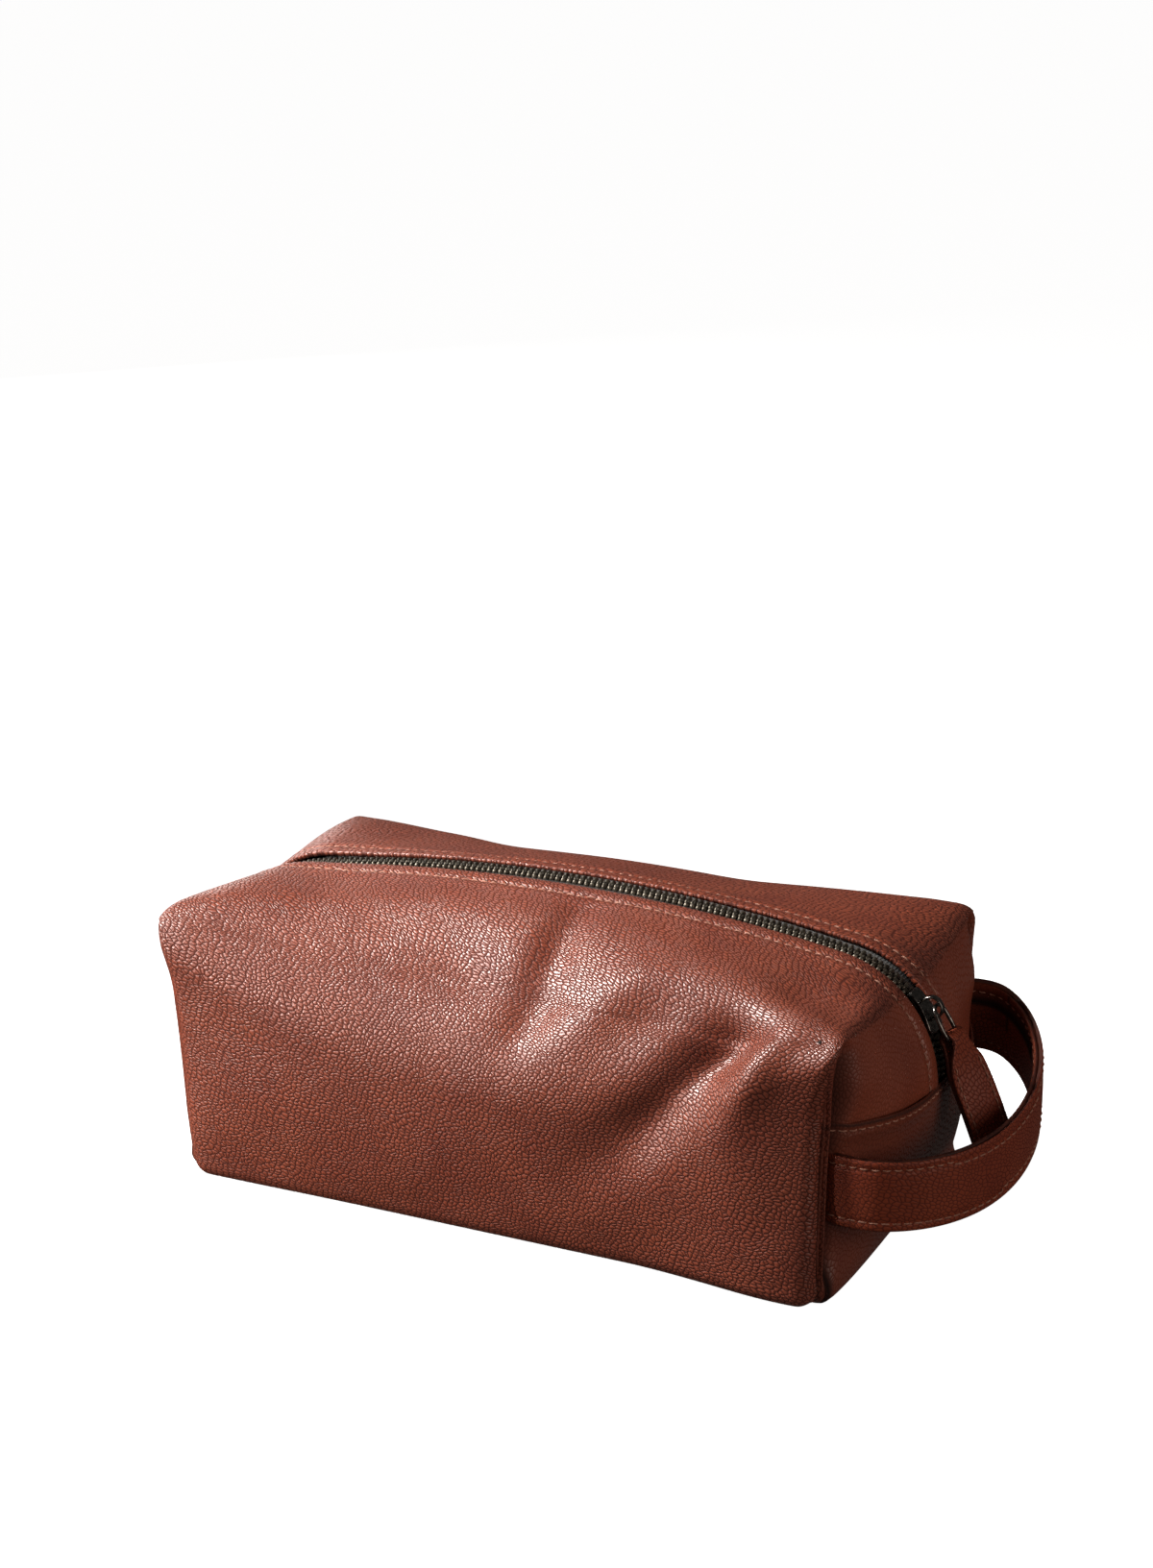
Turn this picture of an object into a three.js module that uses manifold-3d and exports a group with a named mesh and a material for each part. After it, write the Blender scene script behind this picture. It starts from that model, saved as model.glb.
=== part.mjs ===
// A leather shaving kit bag: a boxy zipped pouch with boxed corners, a grab strap on one end and a folded leather
// zip pull. Millimetres, +Z up, +X along the bag towards the strap, -Y the front. The origin is the centre of the base.
import * as THREE from "three";
import Module from "manifold-3d";
import { mergeVertices } from "three/addons/utils/BufferGeometryUtils.js";

const wasm = await Module();
wasm.setup();

// Driving dimensions of the bag
const HALF_WIDTH = 67.5; // centre to the front or back wall at the ridge
const BASE_HALF_WIDTH = 66;
const RIDGE_HEIGHT = 98; // floor to the front and back top corners
const CORNER_HALF_LENGTH = 121.5; // centre to the vertical corner folds low on the wall
const CORNER_FLARE = 8.5; // how far the folds lean outwards at the top corners
const END_BASE_HALF_LENGTH = 125.5; // centre to the end panel's foot
const WALL_BELLY = 2.5; // how far the front and back walls bow out
const SHOULDER_RADIUS_MIDDLE = 34;
const SHOULDER_RADIUS_END = 7;

// The zip's line, seen from the front: a shallow crown that runs into a round bend over each end
const CROWN_HEIGHT = 114.5;
const BEND_X = 98;
const BEND_Z = 60.5;
const BEND_RADIUS = 45;
const BEND_TOP = THREE.MathUtils.degToRad(79.6); // where the bend meets the crown, up from level
const BEND_CORNER = THREE.MathUtils.degToRad(45); // where the end face becomes the top face
const CROWN_HALF_LENGTH = BEND_X + BEND_RADIUS * Math.cos(BEND_TOP);
const CROWN_EDGE_HEIGHT = BEND_Z + BEND_RADIUS * Math.sin(BEND_TOP);
const END_SEAM_AT_WALL = 65; // height of the end's level seam where it meets the corner folds

// Layers, as depths below the outer leather face
const LEATHER = 2;
const TAPE_TOP = 2.3;
const TAPE_BOTTOM = 2.9;
const LINING_TOP = 3.4;
const LINING_BOTTOM = 4.2;
const BOARD_TOP_CLEARANCE = 0.5;
const BOARD_THICKNESS = 1.4;
const LINING_FLOOR = 4.4; // the lining lies over the base board, so it is higher on the floor
const GAP = 0.3;

// Where the leather is divided
const FLAP_HALF_LENGTH = 96;
const FLAP_HINGE_Y = 56;
const FLAP_HINGE_Z = 101;
const ZIP_SLOT = 6.2; // half the width between the leather edges
const LINING_SLOT = 8;
const BASE_PANEL_HALF_WIDTH = 54;
const BASE_PANEL_HALF_LENGTH = 114;
const END_PANEL_HALF_WIDTH = 62.5;

// Zip
const TOOTH_PITCH = 6;
const TOOTH_LENGTH_ALONG = 2.6;
const TEETH_TOP = 1.1;
const TEETH_BOTTOM = 3.7;
const TOOTH_ROOT = 2.3;
const CORD_OUTER = 3.6; // half width over the two beaded cords that the teeth grip
const TOOTH_MESH = 0.9; // how far closed teeth reach past the middle
const TAPE_INNER = 3.9;
const TAPE_OUTER = 12;

// Slider, at its place on the right bend
const SLIDER_MIDDLE = THREE.MathUtils.degToRad(34);
const SLIDER_HALF_ARC = THREE.MathUtils.degToRad(11);
const SLIDER_HALF_WIDTH = 5.6;
const SLIDER_PLATE = 1.4;
const SLIDER_GAP_TOP = BEND_RADIUS - TEETH_TOP + GAP;
const SLIDER_GAP_BOTTOM = BEND_RADIUS - TEETH_BOTTOM - GAP;

// Pull ring and leather pull
const RING_PIVOT = new THREE.Vector3(139, 0, 88);
const RING_BAR = new THREE.Vector3(145.6, 0, 76.8);
const RING_WIRE = 1.6;
const RING_INNER_WIDTH = 8.4;
const PULL_LENGTH = 42;
const PULL_WIDTH = 16;
const PULL_NECK_WIDTH = 6;
const PULL_LEATHER = 1.4;
const PULL_TILT = THREE.MathUtils.degToRad(24);
const PULL_YAW = THREE.MathUtils.degToRad(15);

// Grab strap
const STRAP_WIDTH = 25;
const STRAP_ROOT_X = 128.6;
const STRAP_REACH = 44.4; // from the root to the outer face of the loop
const STRAP_HALF_SPAN = 66.4;
const STRAP_LAYER = 1.5;
const STRAP_HEIGHT = [43.5, 10, 6.5]; // height of the strap's middle: constant, slope and curve across the loop

const LEATHER_FINISH = { color: 0x8a3d27, roughness: 0.5, metalness: 0 };
const LINING_FINISH = { color: 0x2c2523, roughness: 0.9, metalness: 0 };
const TAPE_FINISH = { color: 0x161413, roughness: 0.9, metalness: 0 };
const METAL_FINISH = { color: 0x4a443c, roughness: 0.35, metalness: 1 };
const BOARD_FINISH = { color: 0x8d8577, roughness: 0.9, metalness: 0 };

const lerp = THREE.MathUtils.lerp;

// ---------- outer form ----------

// Share of the way from the wall's line (0) to the zip's line (1), for b from the front wall (-1) to the back wall (1)
const topShare = (b) => 1 - Math.abs(b) ** 1.6;
const endShare = (b) => 1 - Math.abs(b) ** 2.2;
const foldX = (z) => CORNER_HALF_LENGTH + CORNER_FLARE * (z / RIDGE_HEIGHT) ** 4;
const crownZ = (x) =>
  CROWN_HEIGHT - (CROWN_HEIGHT - CROWN_EDGE_HEIGHT) * (x / CROWN_HALF_LENGTH) ** 2;
const bendPoint = (angle, radius = BEND_RADIUS) =>
  [BEND_X + radius * Math.cos(angle), BEND_Z + radius * Math.sin(angle)];

const SEAM_SHARE = 0.5; // of the end face's rows that lie below its level seam
const CROWN_SHARE = 0.8; // of the top face's columns that lie on the crown

// The end face's line at the zip, for c from the floor (0) to the top face (1)
function endMiddle(c) {
  if (c >= SEAM_SHARE) return bendPoint((BEND_CORNER * (c - SEAM_SHARE)) / (1 - SEAM_SHARE));
  const u = c / SEAM_SHARE;
  const outer = BEND_X + BEND_RADIUS;
  const x = (1 - u) ** 2 * END_BASE_HALF_LENGTH + (1 - (1 - u) ** 2) * outer;
  const z = 2 * u * (1 - u) * (BEND_Z * 0.46) + u * u * BEND_Z;
  return [x, z];
}

function endCorner(c) {
  const z =
    c < SEAM_SHARE
      ? (END_SEAM_AT_WALL * c) / SEAM_SHARE
      : lerp(END_SEAM_AT_WALL, RIDGE_HEIGHT, (c - SEAM_SHARE) / (1 - SEAM_SHARE));
  return [foldX(z), z];
}

function topMiddle(a) {
  const side = Math.sign(a) || 1;
  const t = Math.abs(a);
  if (t > CROWN_SHARE) {
    const [x, z] = bendPoint(lerp(BEND_TOP, BEND_CORNER, (t - CROWN_SHARE) / (1 - CROWN_SHARE)));
    return [side * x, z];
  }
  const x = (CROWN_HALF_LENGTH * t) / CROWN_SHARE;
  return [side * x, crownZ(x)];
}

function topRidge(a) {
  const side = Math.sign(a) || 1;
  const t = Math.abs(a);
  const x =
    t > CROWN_SHARE
      ? lerp(CROWN_HALF_LENGTH, foldX(RIDGE_HEIGHT), (t - CROWN_SHARE) / (1 - CROWN_SHARE))
      : (CROWN_HALF_LENGTH * t) / CROWN_SHARE;
  return [side * x, RIDGE_HEIGHT];
}

const shoulderRadius = (a) =>
  lerp(SHOULDER_RADIUS_END, SHOULDER_RADIUS_MIDDLE, Math.max(0, 1 - a * a) ** 1.2);

// Moves a point near the ridge onto a round shoulder. distance is how far the point is from the ridge, along the top
// (above) or down the wall, and the result is the share of the radius to move inwards and downwards from the ridge.
function shoulder(distance, radius, onTop) {
  const d = Math.min(distance / radius, 1);
  const angle = onTop ? (1 - d) * (Math.PI / 4) : (1 + d) * (Math.PI / 4);
  return [radius * (1 - Math.sin(angle)), radius * (1 - Math.cos(angle))];
}

// A point of the outer form for a point of the cube a, b in [-1, 1], c in [0, 1] that has one of them at its limit
function formPoint(a, b, c) {
  const side = Math.sign(a) || 1;
  if (Math.abs(b) === 1 && Math.abs(a) < 1 && c > 0) {
    // front or back wall
    const [ridgeX] = topRidge(a);
    const [cornerX, z] = endCorner(c);
    const x = (ridgeX * cornerX) / foldX(RIDGE_HEIGHT);
    const y = lerp(BASE_HALF_WIDTH, HALF_WIDTH, z / RIDGE_HEIGHT) +
      WALL_BELLY * (1 - a * a) * Math.sin((Math.PI * z) / RIDGE_HEIGHT);
    const radius = shoulderRadius(a);
    const down = RIDGE_HEIGHT - z;
    if (down >= radius) return new THREE.Vector3(x, b * y, z);
    const [inward, below] = shoulder(down, radius, false);
    return new THREE.Vector3(x, b * (y - inward), RIDGE_HEIGHT - below);
  }
  if (c === 1 && Math.abs(a) < 1) {
    // top
    const [ridgeX, ridgeZ] = topRidge(a);
    const [middleX, middleZ] = topMiddle(a);
    const share = topShare(b);
    const x = lerp(ridgeX, middleX, share);
    const z = lerp(ridgeZ, middleZ, share);
    const radius = shoulderRadius(a);
    const inside = HALF_WIDTH * (1 - Math.abs(b));
    if (inside >= radius) return new THREE.Vector3(x, b * HALF_WIDTH, z);
    const [inward, below] = shoulder(inside, radius, true);
    return new THREE.Vector3(x, Math.sign(b) * (HALF_WIDTH - inward), z - below);
  }
  if (c === 0) {
    const x = a * lerp(CORNER_HALF_LENGTH, END_BASE_HALF_LENGTH, endShare(b));
    return new THREE.Vector3(x, b * BASE_HALF_WIDTH, 0);
  }
  // ends
  const [cornerX, cornerZ] = endCorner(c);
  const [middleX, middleZ] = endMiddle(c);
  const share = c < 1 ? endShare(b) : lerp(endShare(b), topShare(b), 0.5);
  const y = b * lerp(BASE_HALF_WIDTH, HALF_WIDTH, lerp(cornerZ, middleZ, share) / RIDGE_HEIGHT);
  return new THREE.Vector3(side * lerp(cornerX, middleX, share), y, lerp(cornerZ, middleZ, share));
}

const COLUMNS_HALF = [0, 0.27, 0.54, 0.8, 0.9, 1];
const ROWS_HALF = [0, 0.09, 0.3, 0.55, 0.78, 0.92, 1];
const LEVELS = [0, 0.25, 0.5, 0.625, 0.75, 0.875, 1];
const mirrored = (half) => [...half.slice(1).reverse().map((v) => -v), ...half];
const COLUMNS = mirrored(COLUMNS_HALF);
const ROWS = mirrored(ROWS_HALF);

// The closed outer form as an indexed geometry, its faces pointing out
function formGeometry() {
  const positions = [];
  const addGrid = (us, vs, at) => {
    for (let i = 0; i + 1 < us.length; i++)
      for (let j = 0; j + 1 < vs.length; j++) {
        const p = [at(us[i], vs[j]), at(us[i + 1], vs[j]), at(us[i + 1], vs[j + 1]), at(us[i], vs[j + 1])];
        for (const k of [0, 1, 2, 0, 2, 3]) positions.push(...p[k].toArray());
      }
  };
  addGrid(COLUMNS, ROWS, (a, b) => formPoint(a, b, 1));
  const edge = [
    ...COLUMNS.map((a) => [a, -1]),
    ...ROWS.slice(1).map((b) => [1, b]),
    ...[...COLUMNS].reverse().slice(1).map((a) => [a, 1]),
    ...[...ROWS].reverse().slice(1).map((b) => [-1, b]),
  ];
  for (let i = 0; i + 1 < edge.length; i++) {
    const [p, q] = [edge[i + 1], edge[i]].map(([a, b]) => formPoint(a, b, 0).toArray());
    positions.push(0, 0, 0, ...p, ...q);
  }
  addGrid(COLUMNS, LEVELS, (a, c) => formPoint(a, -1, c));
  addGrid(LEVELS, COLUMNS, (c, a) => formPoint(a, 1, c));
  addGrid(ROWS, LEVELS, (b, c) => formPoint(1, b, c));
  addGrid(LEVELS, ROWS, (c, b) => formPoint(-1, b, c));
  const raw = new THREE.BufferGeometry();
  raw.setAttribute("position", new THREE.Float32BufferAttribute(positions, 3));
  return mergeVertices(raw, 1e-3);
}

const outerForm = formGeometry();
outerForm.computeVertexNormals();

// The outer form shrunk by a depth, as a solid. floor is the height of its flat underside.
function formSolid(depth, floor = depth) {
  const g = outerForm.clone();
  const p = g.getAttribute("position");
  const n = g.getAttribute("normal");
  for (let i = 0; i < p.count; i++) {
    const onFloor = p.getZ(i) < 1e-3;
    p.setXYZ(
      i,
      p.getX(i) - depth * n.getX(i),
      p.getY(i) - depth * n.getY(i),
      onFloor ? floor : Math.max(floor + 1, p.getZ(i) - depth * n.getZ(i)),
    );
  }
  return solidOf(g);
}

// ---------- solids ----------

function solidOf(geometry) {
  const bare = geometry.clone();
  for (const name of Object.keys(bare.attributes)) if (name !== "position") bare.deleteAttribute(name);
  const merged = mergeVertices(bare, 1e-4);
  return new wasm.Manifold(
    new wasm.Mesh({
      numProp: 3,
      vertProperties: merged.getAttribute("position").array,
      triVerts: new Uint32Array(merged.index.array),
    }),
  );
}

function geometryOf(solid) {
  const mesh = solid.getMesh();
  const g = new THREE.BufferGeometry();
  g.setAttribute("position", new THREE.BufferAttribute(mesh.vertProperties, 3));
  g.setIndex(new THREE.BufferAttribute(mesh.triVerts, 1));
  return g;
}

function box(low, high) {
  const size = high.map((h, i) => h - low[i]);
  const g = new THREE.BoxGeometry(...size);
  g.translate(...low.map((l, i) => l + size[i] / 2));
  return solidOf(g);
}

// A solid through sections, each a convex loop of the same number of points, closed at both ends
function loft(sections) {
  const positions = [];
  const tri = (...points) => points.forEach((p) => positions.push(...p.toArray()));
  for (let i = 0; i + 1 < sections.length; i++) {
    const count = sections[i].length;
    for (let j = 0; j < count; j++) {
      const k = (j + 1) % count;
      tri(sections[i][j], sections[i][k], sections[i + 1][k]);
      tri(sections[i][j], sections[i + 1][k], sections[i + 1][j]);
    }
  }
  const first = sections[0];
  const last = sections[sections.length - 1];
  for (let j = 1; j + 1 < first.length; j++) {
    tri(first[0], first[j + 1], first[j]);
    tri(last[0], last[j], last[j + 1]);
  }
  const g = new THREE.BufferGeometry();
  g.setAttribute("position", new THREE.Float32BufferAttribute(positions, 3));
  const solid = solidOf(g);
  return solid.volume() < 0 ? solidOf(flipped(g)) : solid;
}

function flipped(geometry) {
  const p = geometry.getAttribute("position");
  for (let i = 0; i < p.count; i += 3) {
    const a = new THREE.Vector3().fromBufferAttribute(p, i + 1);
    const b = new THREE.Vector3().fromBufferAttribute(p, i + 2);
    p.setXYZ(i + 1, ...b.toArray());
    p.setXYZ(i + 2, ...a.toArray());
  }
  return geometry;
}

const group = new THREE.Group();

function addPiece(name, shape, finish) {
  const geometry = shape.isBufferGeometry ? shape : geometryOf(shape);
  const mesh = new THREE.Mesh(geometry, new THREE.MeshStandardMaterial(finish));
  mesh.name = name;
  group.add(mesh);
  return mesh;
}

// ---------- leather and lining shells ----------

const FAR = 200;
const SEAM_Z = BEND_Z - 0.5;

const leatherShell = formSolid(0).subtract(formSolid(LEATHER));

// The lining stops short of the four top corners, where the leather pinches into ears
const earTip = (x, y) =>
  box(
    [x < 0 ? -FAR : 126, y < 0 ? -FAR : 62.5, 88],
    [x < 0 ? -126 : FAR, y < 0 ? -62.5 : FAR, FAR],
  );
const liningShell = formSolid(LINING_TOP, LINING_FLOOR)
  .subtract(formSolid(LINING_BOTTOM, LINING_FLOOR + LINING_BOTTOM - LINING_TOP))
  .subtract(wasm.Manifold.union([earTip(-1, -1), earTip(-1, 1), earTip(1, -1), earTip(1, 1)]));

// The region of a flap: the top between the hinge line and the zip slot, on one side
function flapRegion(side, grow, slot) {
  const near = slot - grow;
  const far = FLAP_HINGE_Y + grow;
  const ys = side < 0 ? [-far, -near] : [near, far];
  const reach = FLAP_HALF_LENGTH + grow;
  return box([-reach, ys[0], 70], [reach, ys[1], FAR]);
}

const endPanelRegion = (side, grow) => {
  const xs = side > 0 ? [BASE_PANEL_HALF_LENGTH - grow, FAR] : [-FAR, -BASE_PANEL_HALF_LENGTH + grow];
  const y = END_PANEL_HALF_WIDTH + grow;
  return box([xs[0], -y, -1], [xs[1], y, SEAM_Z + grow]);
};

const basePanelRegion = (grow) =>
  box(
    [-BASE_PANEL_HALF_LENGTH + GAP - grow, -BASE_PANEL_HALF_WIDTH - grow, -1],
    [BASE_PANEL_HALF_LENGTH - GAP + grow, BASE_PANEL_HALF_WIDTH + grow, 12],
  );

// The wall on one side: its face, the lip under the base and its halves of the upper ends
function wallPiece(shell, side, slot) {
  const half = side < 0 ? box([-FAR, -FAR, -1], [FAR, -slot, FAR]) : box([-FAR, slot, -1], [FAR, FAR, FAR]);
  return shell
    .intersect(half)
    .subtract(flapRegion(side, GAP, slot))
    .subtract(endPanelRegion(1, GAP))
    .subtract(endPanelRegion(-1, GAP))
    .subtract(basePanelRegion(GAP));
}

const SIDES = [
  ["front", -1],
  ["back", 1],
];
for (const [name, side] of SIDES) {
  addPiece(`${name}_panel`, wallPiece(leatherShell, side, ZIP_SLOT), LEATHER_FINISH);
  addPiece(`${name}_lining`, wallPiece(liningShell, side, LINING_SLOT), LINING_FINISH);
  addPiece(`${name}_flap`, leatherShell.intersect(flapRegion(side, 0, ZIP_SLOT)), LEATHER_FINISH);
  addPiece(`${name}_flap_lining`, liningShell.intersect(flapRegion(side, 0, LINING_SLOT)), LINING_FINISH);
}
const ENDS = [
  ["right", 1],
  ["left", -1],
];
for (const [name, side] of ENDS) {
  addPiece(`${name}_end_panel`, leatherShell.intersect(endPanelRegion(side, 0)), LEATHER_FINISH);
  addPiece(`${name}_end_lining`, liningShell.intersect(endPanelRegion(side, 0)), LINING_FINISH);
}
addPiece("base_panel", leatherShell.intersect(basePanelRegion(0)), LEATHER_FINISH);
addPiece("base_lining", liningShell.intersect(basePanelRegion(0)), LINING_FINISH);

const boardFloor = LEATHER + BOARD_TOP_CLEARANCE;
addPiece(
  "base_board",
  box([-112, -58, boardFloor], [112, 58, boardFloor + BOARD_THICKNESS]),
  BOARD_FINISH,
);

// A flat slip pocket sewn to the back lining
const pocketOuter = formSolid(LINING_BOTTOM + GAP, LINING_FLOOR + 2);
const pocketInner = formSolid(LINING_BOTTOM + GAP + 0.8, LINING_FLOOR + 3);
addPiece(
  "slip_pocket",
  pocketOuter.subtract(pocketInner).intersect(box([-70, 40, 12], [70, FAR, 58])),
  LINING_FINISH,
);

// ---------- zip ----------

// A point of the zip's line: s is the distance from the crown's middle, and depth is below the leather face
const CROWN_STEPS = 400;
const crownLength = (() => {
  let length = 0;
  for (let i = 0; i < CROWN_STEPS; i++) {
    const x0 = (CROWN_HALF_LENGTH * i) / CROWN_STEPS;
    const x1 = (CROWN_HALF_LENGTH * (i + 1)) / CROWN_STEPS;
    length += Math.hypot(x1 - x0, crownZ(x1) - crownZ(x0));
  }
  return length;
})();

function zipPoint(s, y, depth) {
  const side = Math.sign(s) || 1;
  const t = Math.abs(s);
  if (t > crownLength) {
    const angle = BEND_TOP - (t - crownLength) / BEND_RADIUS;
    const [x, z] = bendPoint(angle, BEND_RADIUS - depth);
    return new THREE.Vector3(side * x, y, z);
  }
  const x = (CROWN_HALF_LENGTH * t) / crownLength;
  const slope = (-2 * (CROWN_HEIGHT - CROWN_EDGE_HEIGHT) * x) / CROWN_HALF_LENGTH ** 2;
  const n = new THREE.Vector2(-slope, 1).normalize();
  return new THREE.Vector3(side * (x - depth * n.x), y, crownZ(x) - depth * n.y);
}

// A straight block of the zip between two distances, two widths and the depths of the teeth
function zipBlock(s0, s1, y0, y1, steps = 1) {
  const sections = [];
  for (let i = 0; i <= steps; i++) {
    const s = lerp(s0, s1, i / steps);
    sections.push([
      zipPoint(s, y0, TEETH_BOTTOM),
      zipPoint(s, y1, TEETH_BOTTOM),
      zipPoint(s, y1, TEETH_TOP),
      zipPoint(s, y0, TEETH_TOP),
    ]);
  }
  return loft(sections);
}

// One row of teeth on its cord, from s0 to s1. The two rows' teeth are half a pitch apart. reach is how far a tooth
// passes the middle, or stops short of it where the row stands open.
function teethRow(side, s0, s1, reach) {
  const length = s1 - s0;
  const parts = [zipBlock(s0, s1, side * TOOTH_ROOT, side * CORD_OUTER, Math.max(6, Math.round(length / 8)))];
  const offset = side < 0 ? 0 : TOOTH_PITCH / 2;
  const first = Math.ceil((s0 + GAP - offset) / TOOTH_PITCH);
  for (let i = first; ; i++) {
    const start = i * TOOTH_PITCH + offset;
    if (start + TOOTH_LENGTH_ALONG > s1 - GAP) break;
    parts.push(zipBlock(start, start + TOOTH_LENGTH_ALONG, -side * reach, side * (TOOTH_ROOT + 0.4)));
  }
  return wasm.Manifold.union(parts);
}

const flapEndS = (FLAP_HALF_LENGTH * crownLength) / CROWN_HALF_LENGTH;
const seamS = crownLength + BEND_RADIUS * BEND_TOP;
const tapeShell = formSolid(TAPE_TOP).subtract(formSolid(TAPE_BOTTOM));
const tapeRegion = (side, x0, x1) => {
  const ys = side < 0 ? [-TAPE_OUTER, -TAPE_INNER] : [TAPE_INNER, TAPE_OUTER];
  return box([x0, ys[0], SEAM_Z + 1], [x1, ys[1], FAR]);
};
for (const [name, side] of SIDES) {
  addPiece(`${name}_teeth_top`, teethRow(side, -flapEndS + GAP, flapEndS - GAP, TOOTH_MESH), METAL_FINISH);
  addPiece(`${name}_teeth_right`, teethRow(side, flapEndS + GAP, seamS - 1, -TOOTH_MESH), METAL_FINISH);
  addPiece(`${name}_teeth_left`, teethRow(side, -seamS + 1, -flapEndS - GAP, TOOTH_MESH), METAL_FINISH);
  addPiece(
    `${name}_tape_top`,
    tapeShell.intersect(tapeRegion(side, -FLAP_HALF_LENGTH, FLAP_HALF_LENGTH)),
    TAPE_FINISH,
  );
  addPiece(`${name}_tape_right`, tapeShell.intersect(tapeRegion(side, FLAP_HALF_LENGTH + GAP, FAR)), TAPE_FINISH);
  addPiece(`${name}_tape_left`, tapeShell.intersect(tapeRegion(side, -FAR, -FLAP_HALF_LENGTH - GAP)), TAPE_FINISH);
}

// ---------- slider ----------

// A block of a ring around the bend's axis
function ringBlock(r0, r1, from, to, y0, y1, steps) {
  const sections = [];
  for (let i = 0; i <= steps; i++) {
    const angle = lerp(from, to, i / steps);
    const [x0, z0] = bendPoint(angle, r0);
    const [x1, z1] = bendPoint(angle, r1);
    sections.push([
      new THREE.Vector3(x0, y0, z0),
      new THREE.Vector3(x1, y0, z1),
      new THREE.Vector3(x1, y1, z1),
      new THREE.Vector3(x0, y1, z0),
    ]);
  }
  return loft(sections);
}

const head = SLIDER_MIDDLE - SLIDER_HALF_ARC;
const tail = SLIDER_MIDDLE + SLIDER_HALF_ARC;
const plateTop = SLIDER_GAP_TOP + SLIDER_PLATE;
const DEGREE = Math.PI / 180;
const w = SLIDER_HALF_WIDTH;
addPiece(
  "slider_body",
  wasm.Manifold.union([
    ringBlock(SLIDER_GAP_TOP, plateTop, head, tail, -w, w, 6),
    ringBlock(SLIDER_GAP_BOTTOM - SLIDER_PLATE, SLIDER_GAP_BOTTOM, head, tail, -w, w, 6),
    ringBlock(SLIDER_GAP_BOTTOM - 0.5, SLIDER_GAP_TOP + 0.5, head, head + 3 * DEGREE, -0.55, 0.55, 1),
    ringBlock(SLIDER_GAP_TOP - 0.9, SLIDER_GAP_TOP + 0.5, head, tail, -w, -w + 0.8, 6),
    ringBlock(SLIDER_GAP_TOP - 0.9, SLIDER_GAP_TOP + 0.5, head, tail, w - 0.8, w, 6),
  ]),
  METAL_FINISH,
);

// The bridge on the slider's top plate, which holds the pull ring
const pivotAngle = Math.atan2(RING_PIVOT.z - BEND_Z, RING_PIVOT.x - BEND_X);
const pivotRadius = Math.hypot(RING_PIVOT.z - BEND_Z, RING_PIVOT.x - BEND_X);
const bridgeClear = RING_WIRE / 2 + GAP;
const legArc = 2.4 * DEGREE;
const bridgeHalf = 4.2 * DEGREE;
addPiece(
  "slider_bridge",
  wasm.Manifold.union([
    ringBlock(pivotRadius + bridgeClear, pivotRadius + bridgeClear + 1.2, pivotAngle - bridgeHalf, pivotAngle + bridgeHalf, -1.3, 1.3, 3),
    ringBlock(plateTop + GAP, pivotRadius + bridgeClear + 0.5, pivotAngle - bridgeHalf, pivotAngle - bridgeHalf + legArc, -1.3, 1.3, 1),
    ringBlock(plateTop + GAP, pivotRadius + bridgeClear + 0.5, pivotAngle + bridgeHalf - legArc, pivotAngle + bridgeHalf, -1.3, 1.3, 1),
  ]),
  METAL_FINISH,
);

// Stops: one at the closed end across both rows, and one on each row at the open end
addPiece("closed_end_stop", zipBlock(-seamS + 0.2, -seamS + 0.7, -CORD_OUTER, CORD_OUTER), METAL_FINISH);
for (const [name, side] of SIDES)
  addPiece(`${name}_top_stop`, zipBlock(seamS - 0.7, seamS - 0.2, side * 1.2, side * CORD_OUTER), METAL_FINISH);

// ---------- pull ring and leather pull ----------

function roundedRectangle(width, height, radius, shape) {
  const x = width / 2 - radius;
  const y = height / 2 - radius;
  shape.absarc(x, y, radius, 0, Math.PI / 2);
  shape.absarc(-x, y, radius, Math.PI / 2, Math.PI);
  shape.absarc(-x, -y, radius, Math.PI, 1.5 * Math.PI);
  shape.absarc(x, -y, radius, 1.5 * Math.PI, 2 * Math.PI);
  return shape;
}

const ringLength = RING_PIVOT.distanceTo(RING_BAR);
const ringOuter = roundedRectangle(
  RING_INNER_WIDTH + 2 * RING_WIRE,
  ringLength + RING_WIRE,
  2.4,
  new THREE.Shape(),
);
ringOuter.holes.push(
  roundedRectangle(RING_INNER_WIDTH, ringLength - RING_WIRE, 1, new THREE.Path()),
);
const ringGeometry = new THREE.ExtrudeGeometry(ringOuter, {
  depth: RING_WIRE,
  bevelEnabled: false,
  curveSegments: 4,
});
ringGeometry.translate(0, 0, -RING_WIRE / 2);
ringGeometry.rotateZ(Math.PI / 2); // its length now lies along -X to +X, and its width along Y
const ringMesh = addPiece("pull_ring", ringGeometry, METAL_FINISH);
ringMesh.position.copy(RING_PIVOT).lerp(RING_BAR, 0.5);
ringMesh.rotation.y = Math.atan2(RING_PIVOT.z - RING_BAR.z, RING_BAR.x - RING_PIVOT.x);

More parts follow.
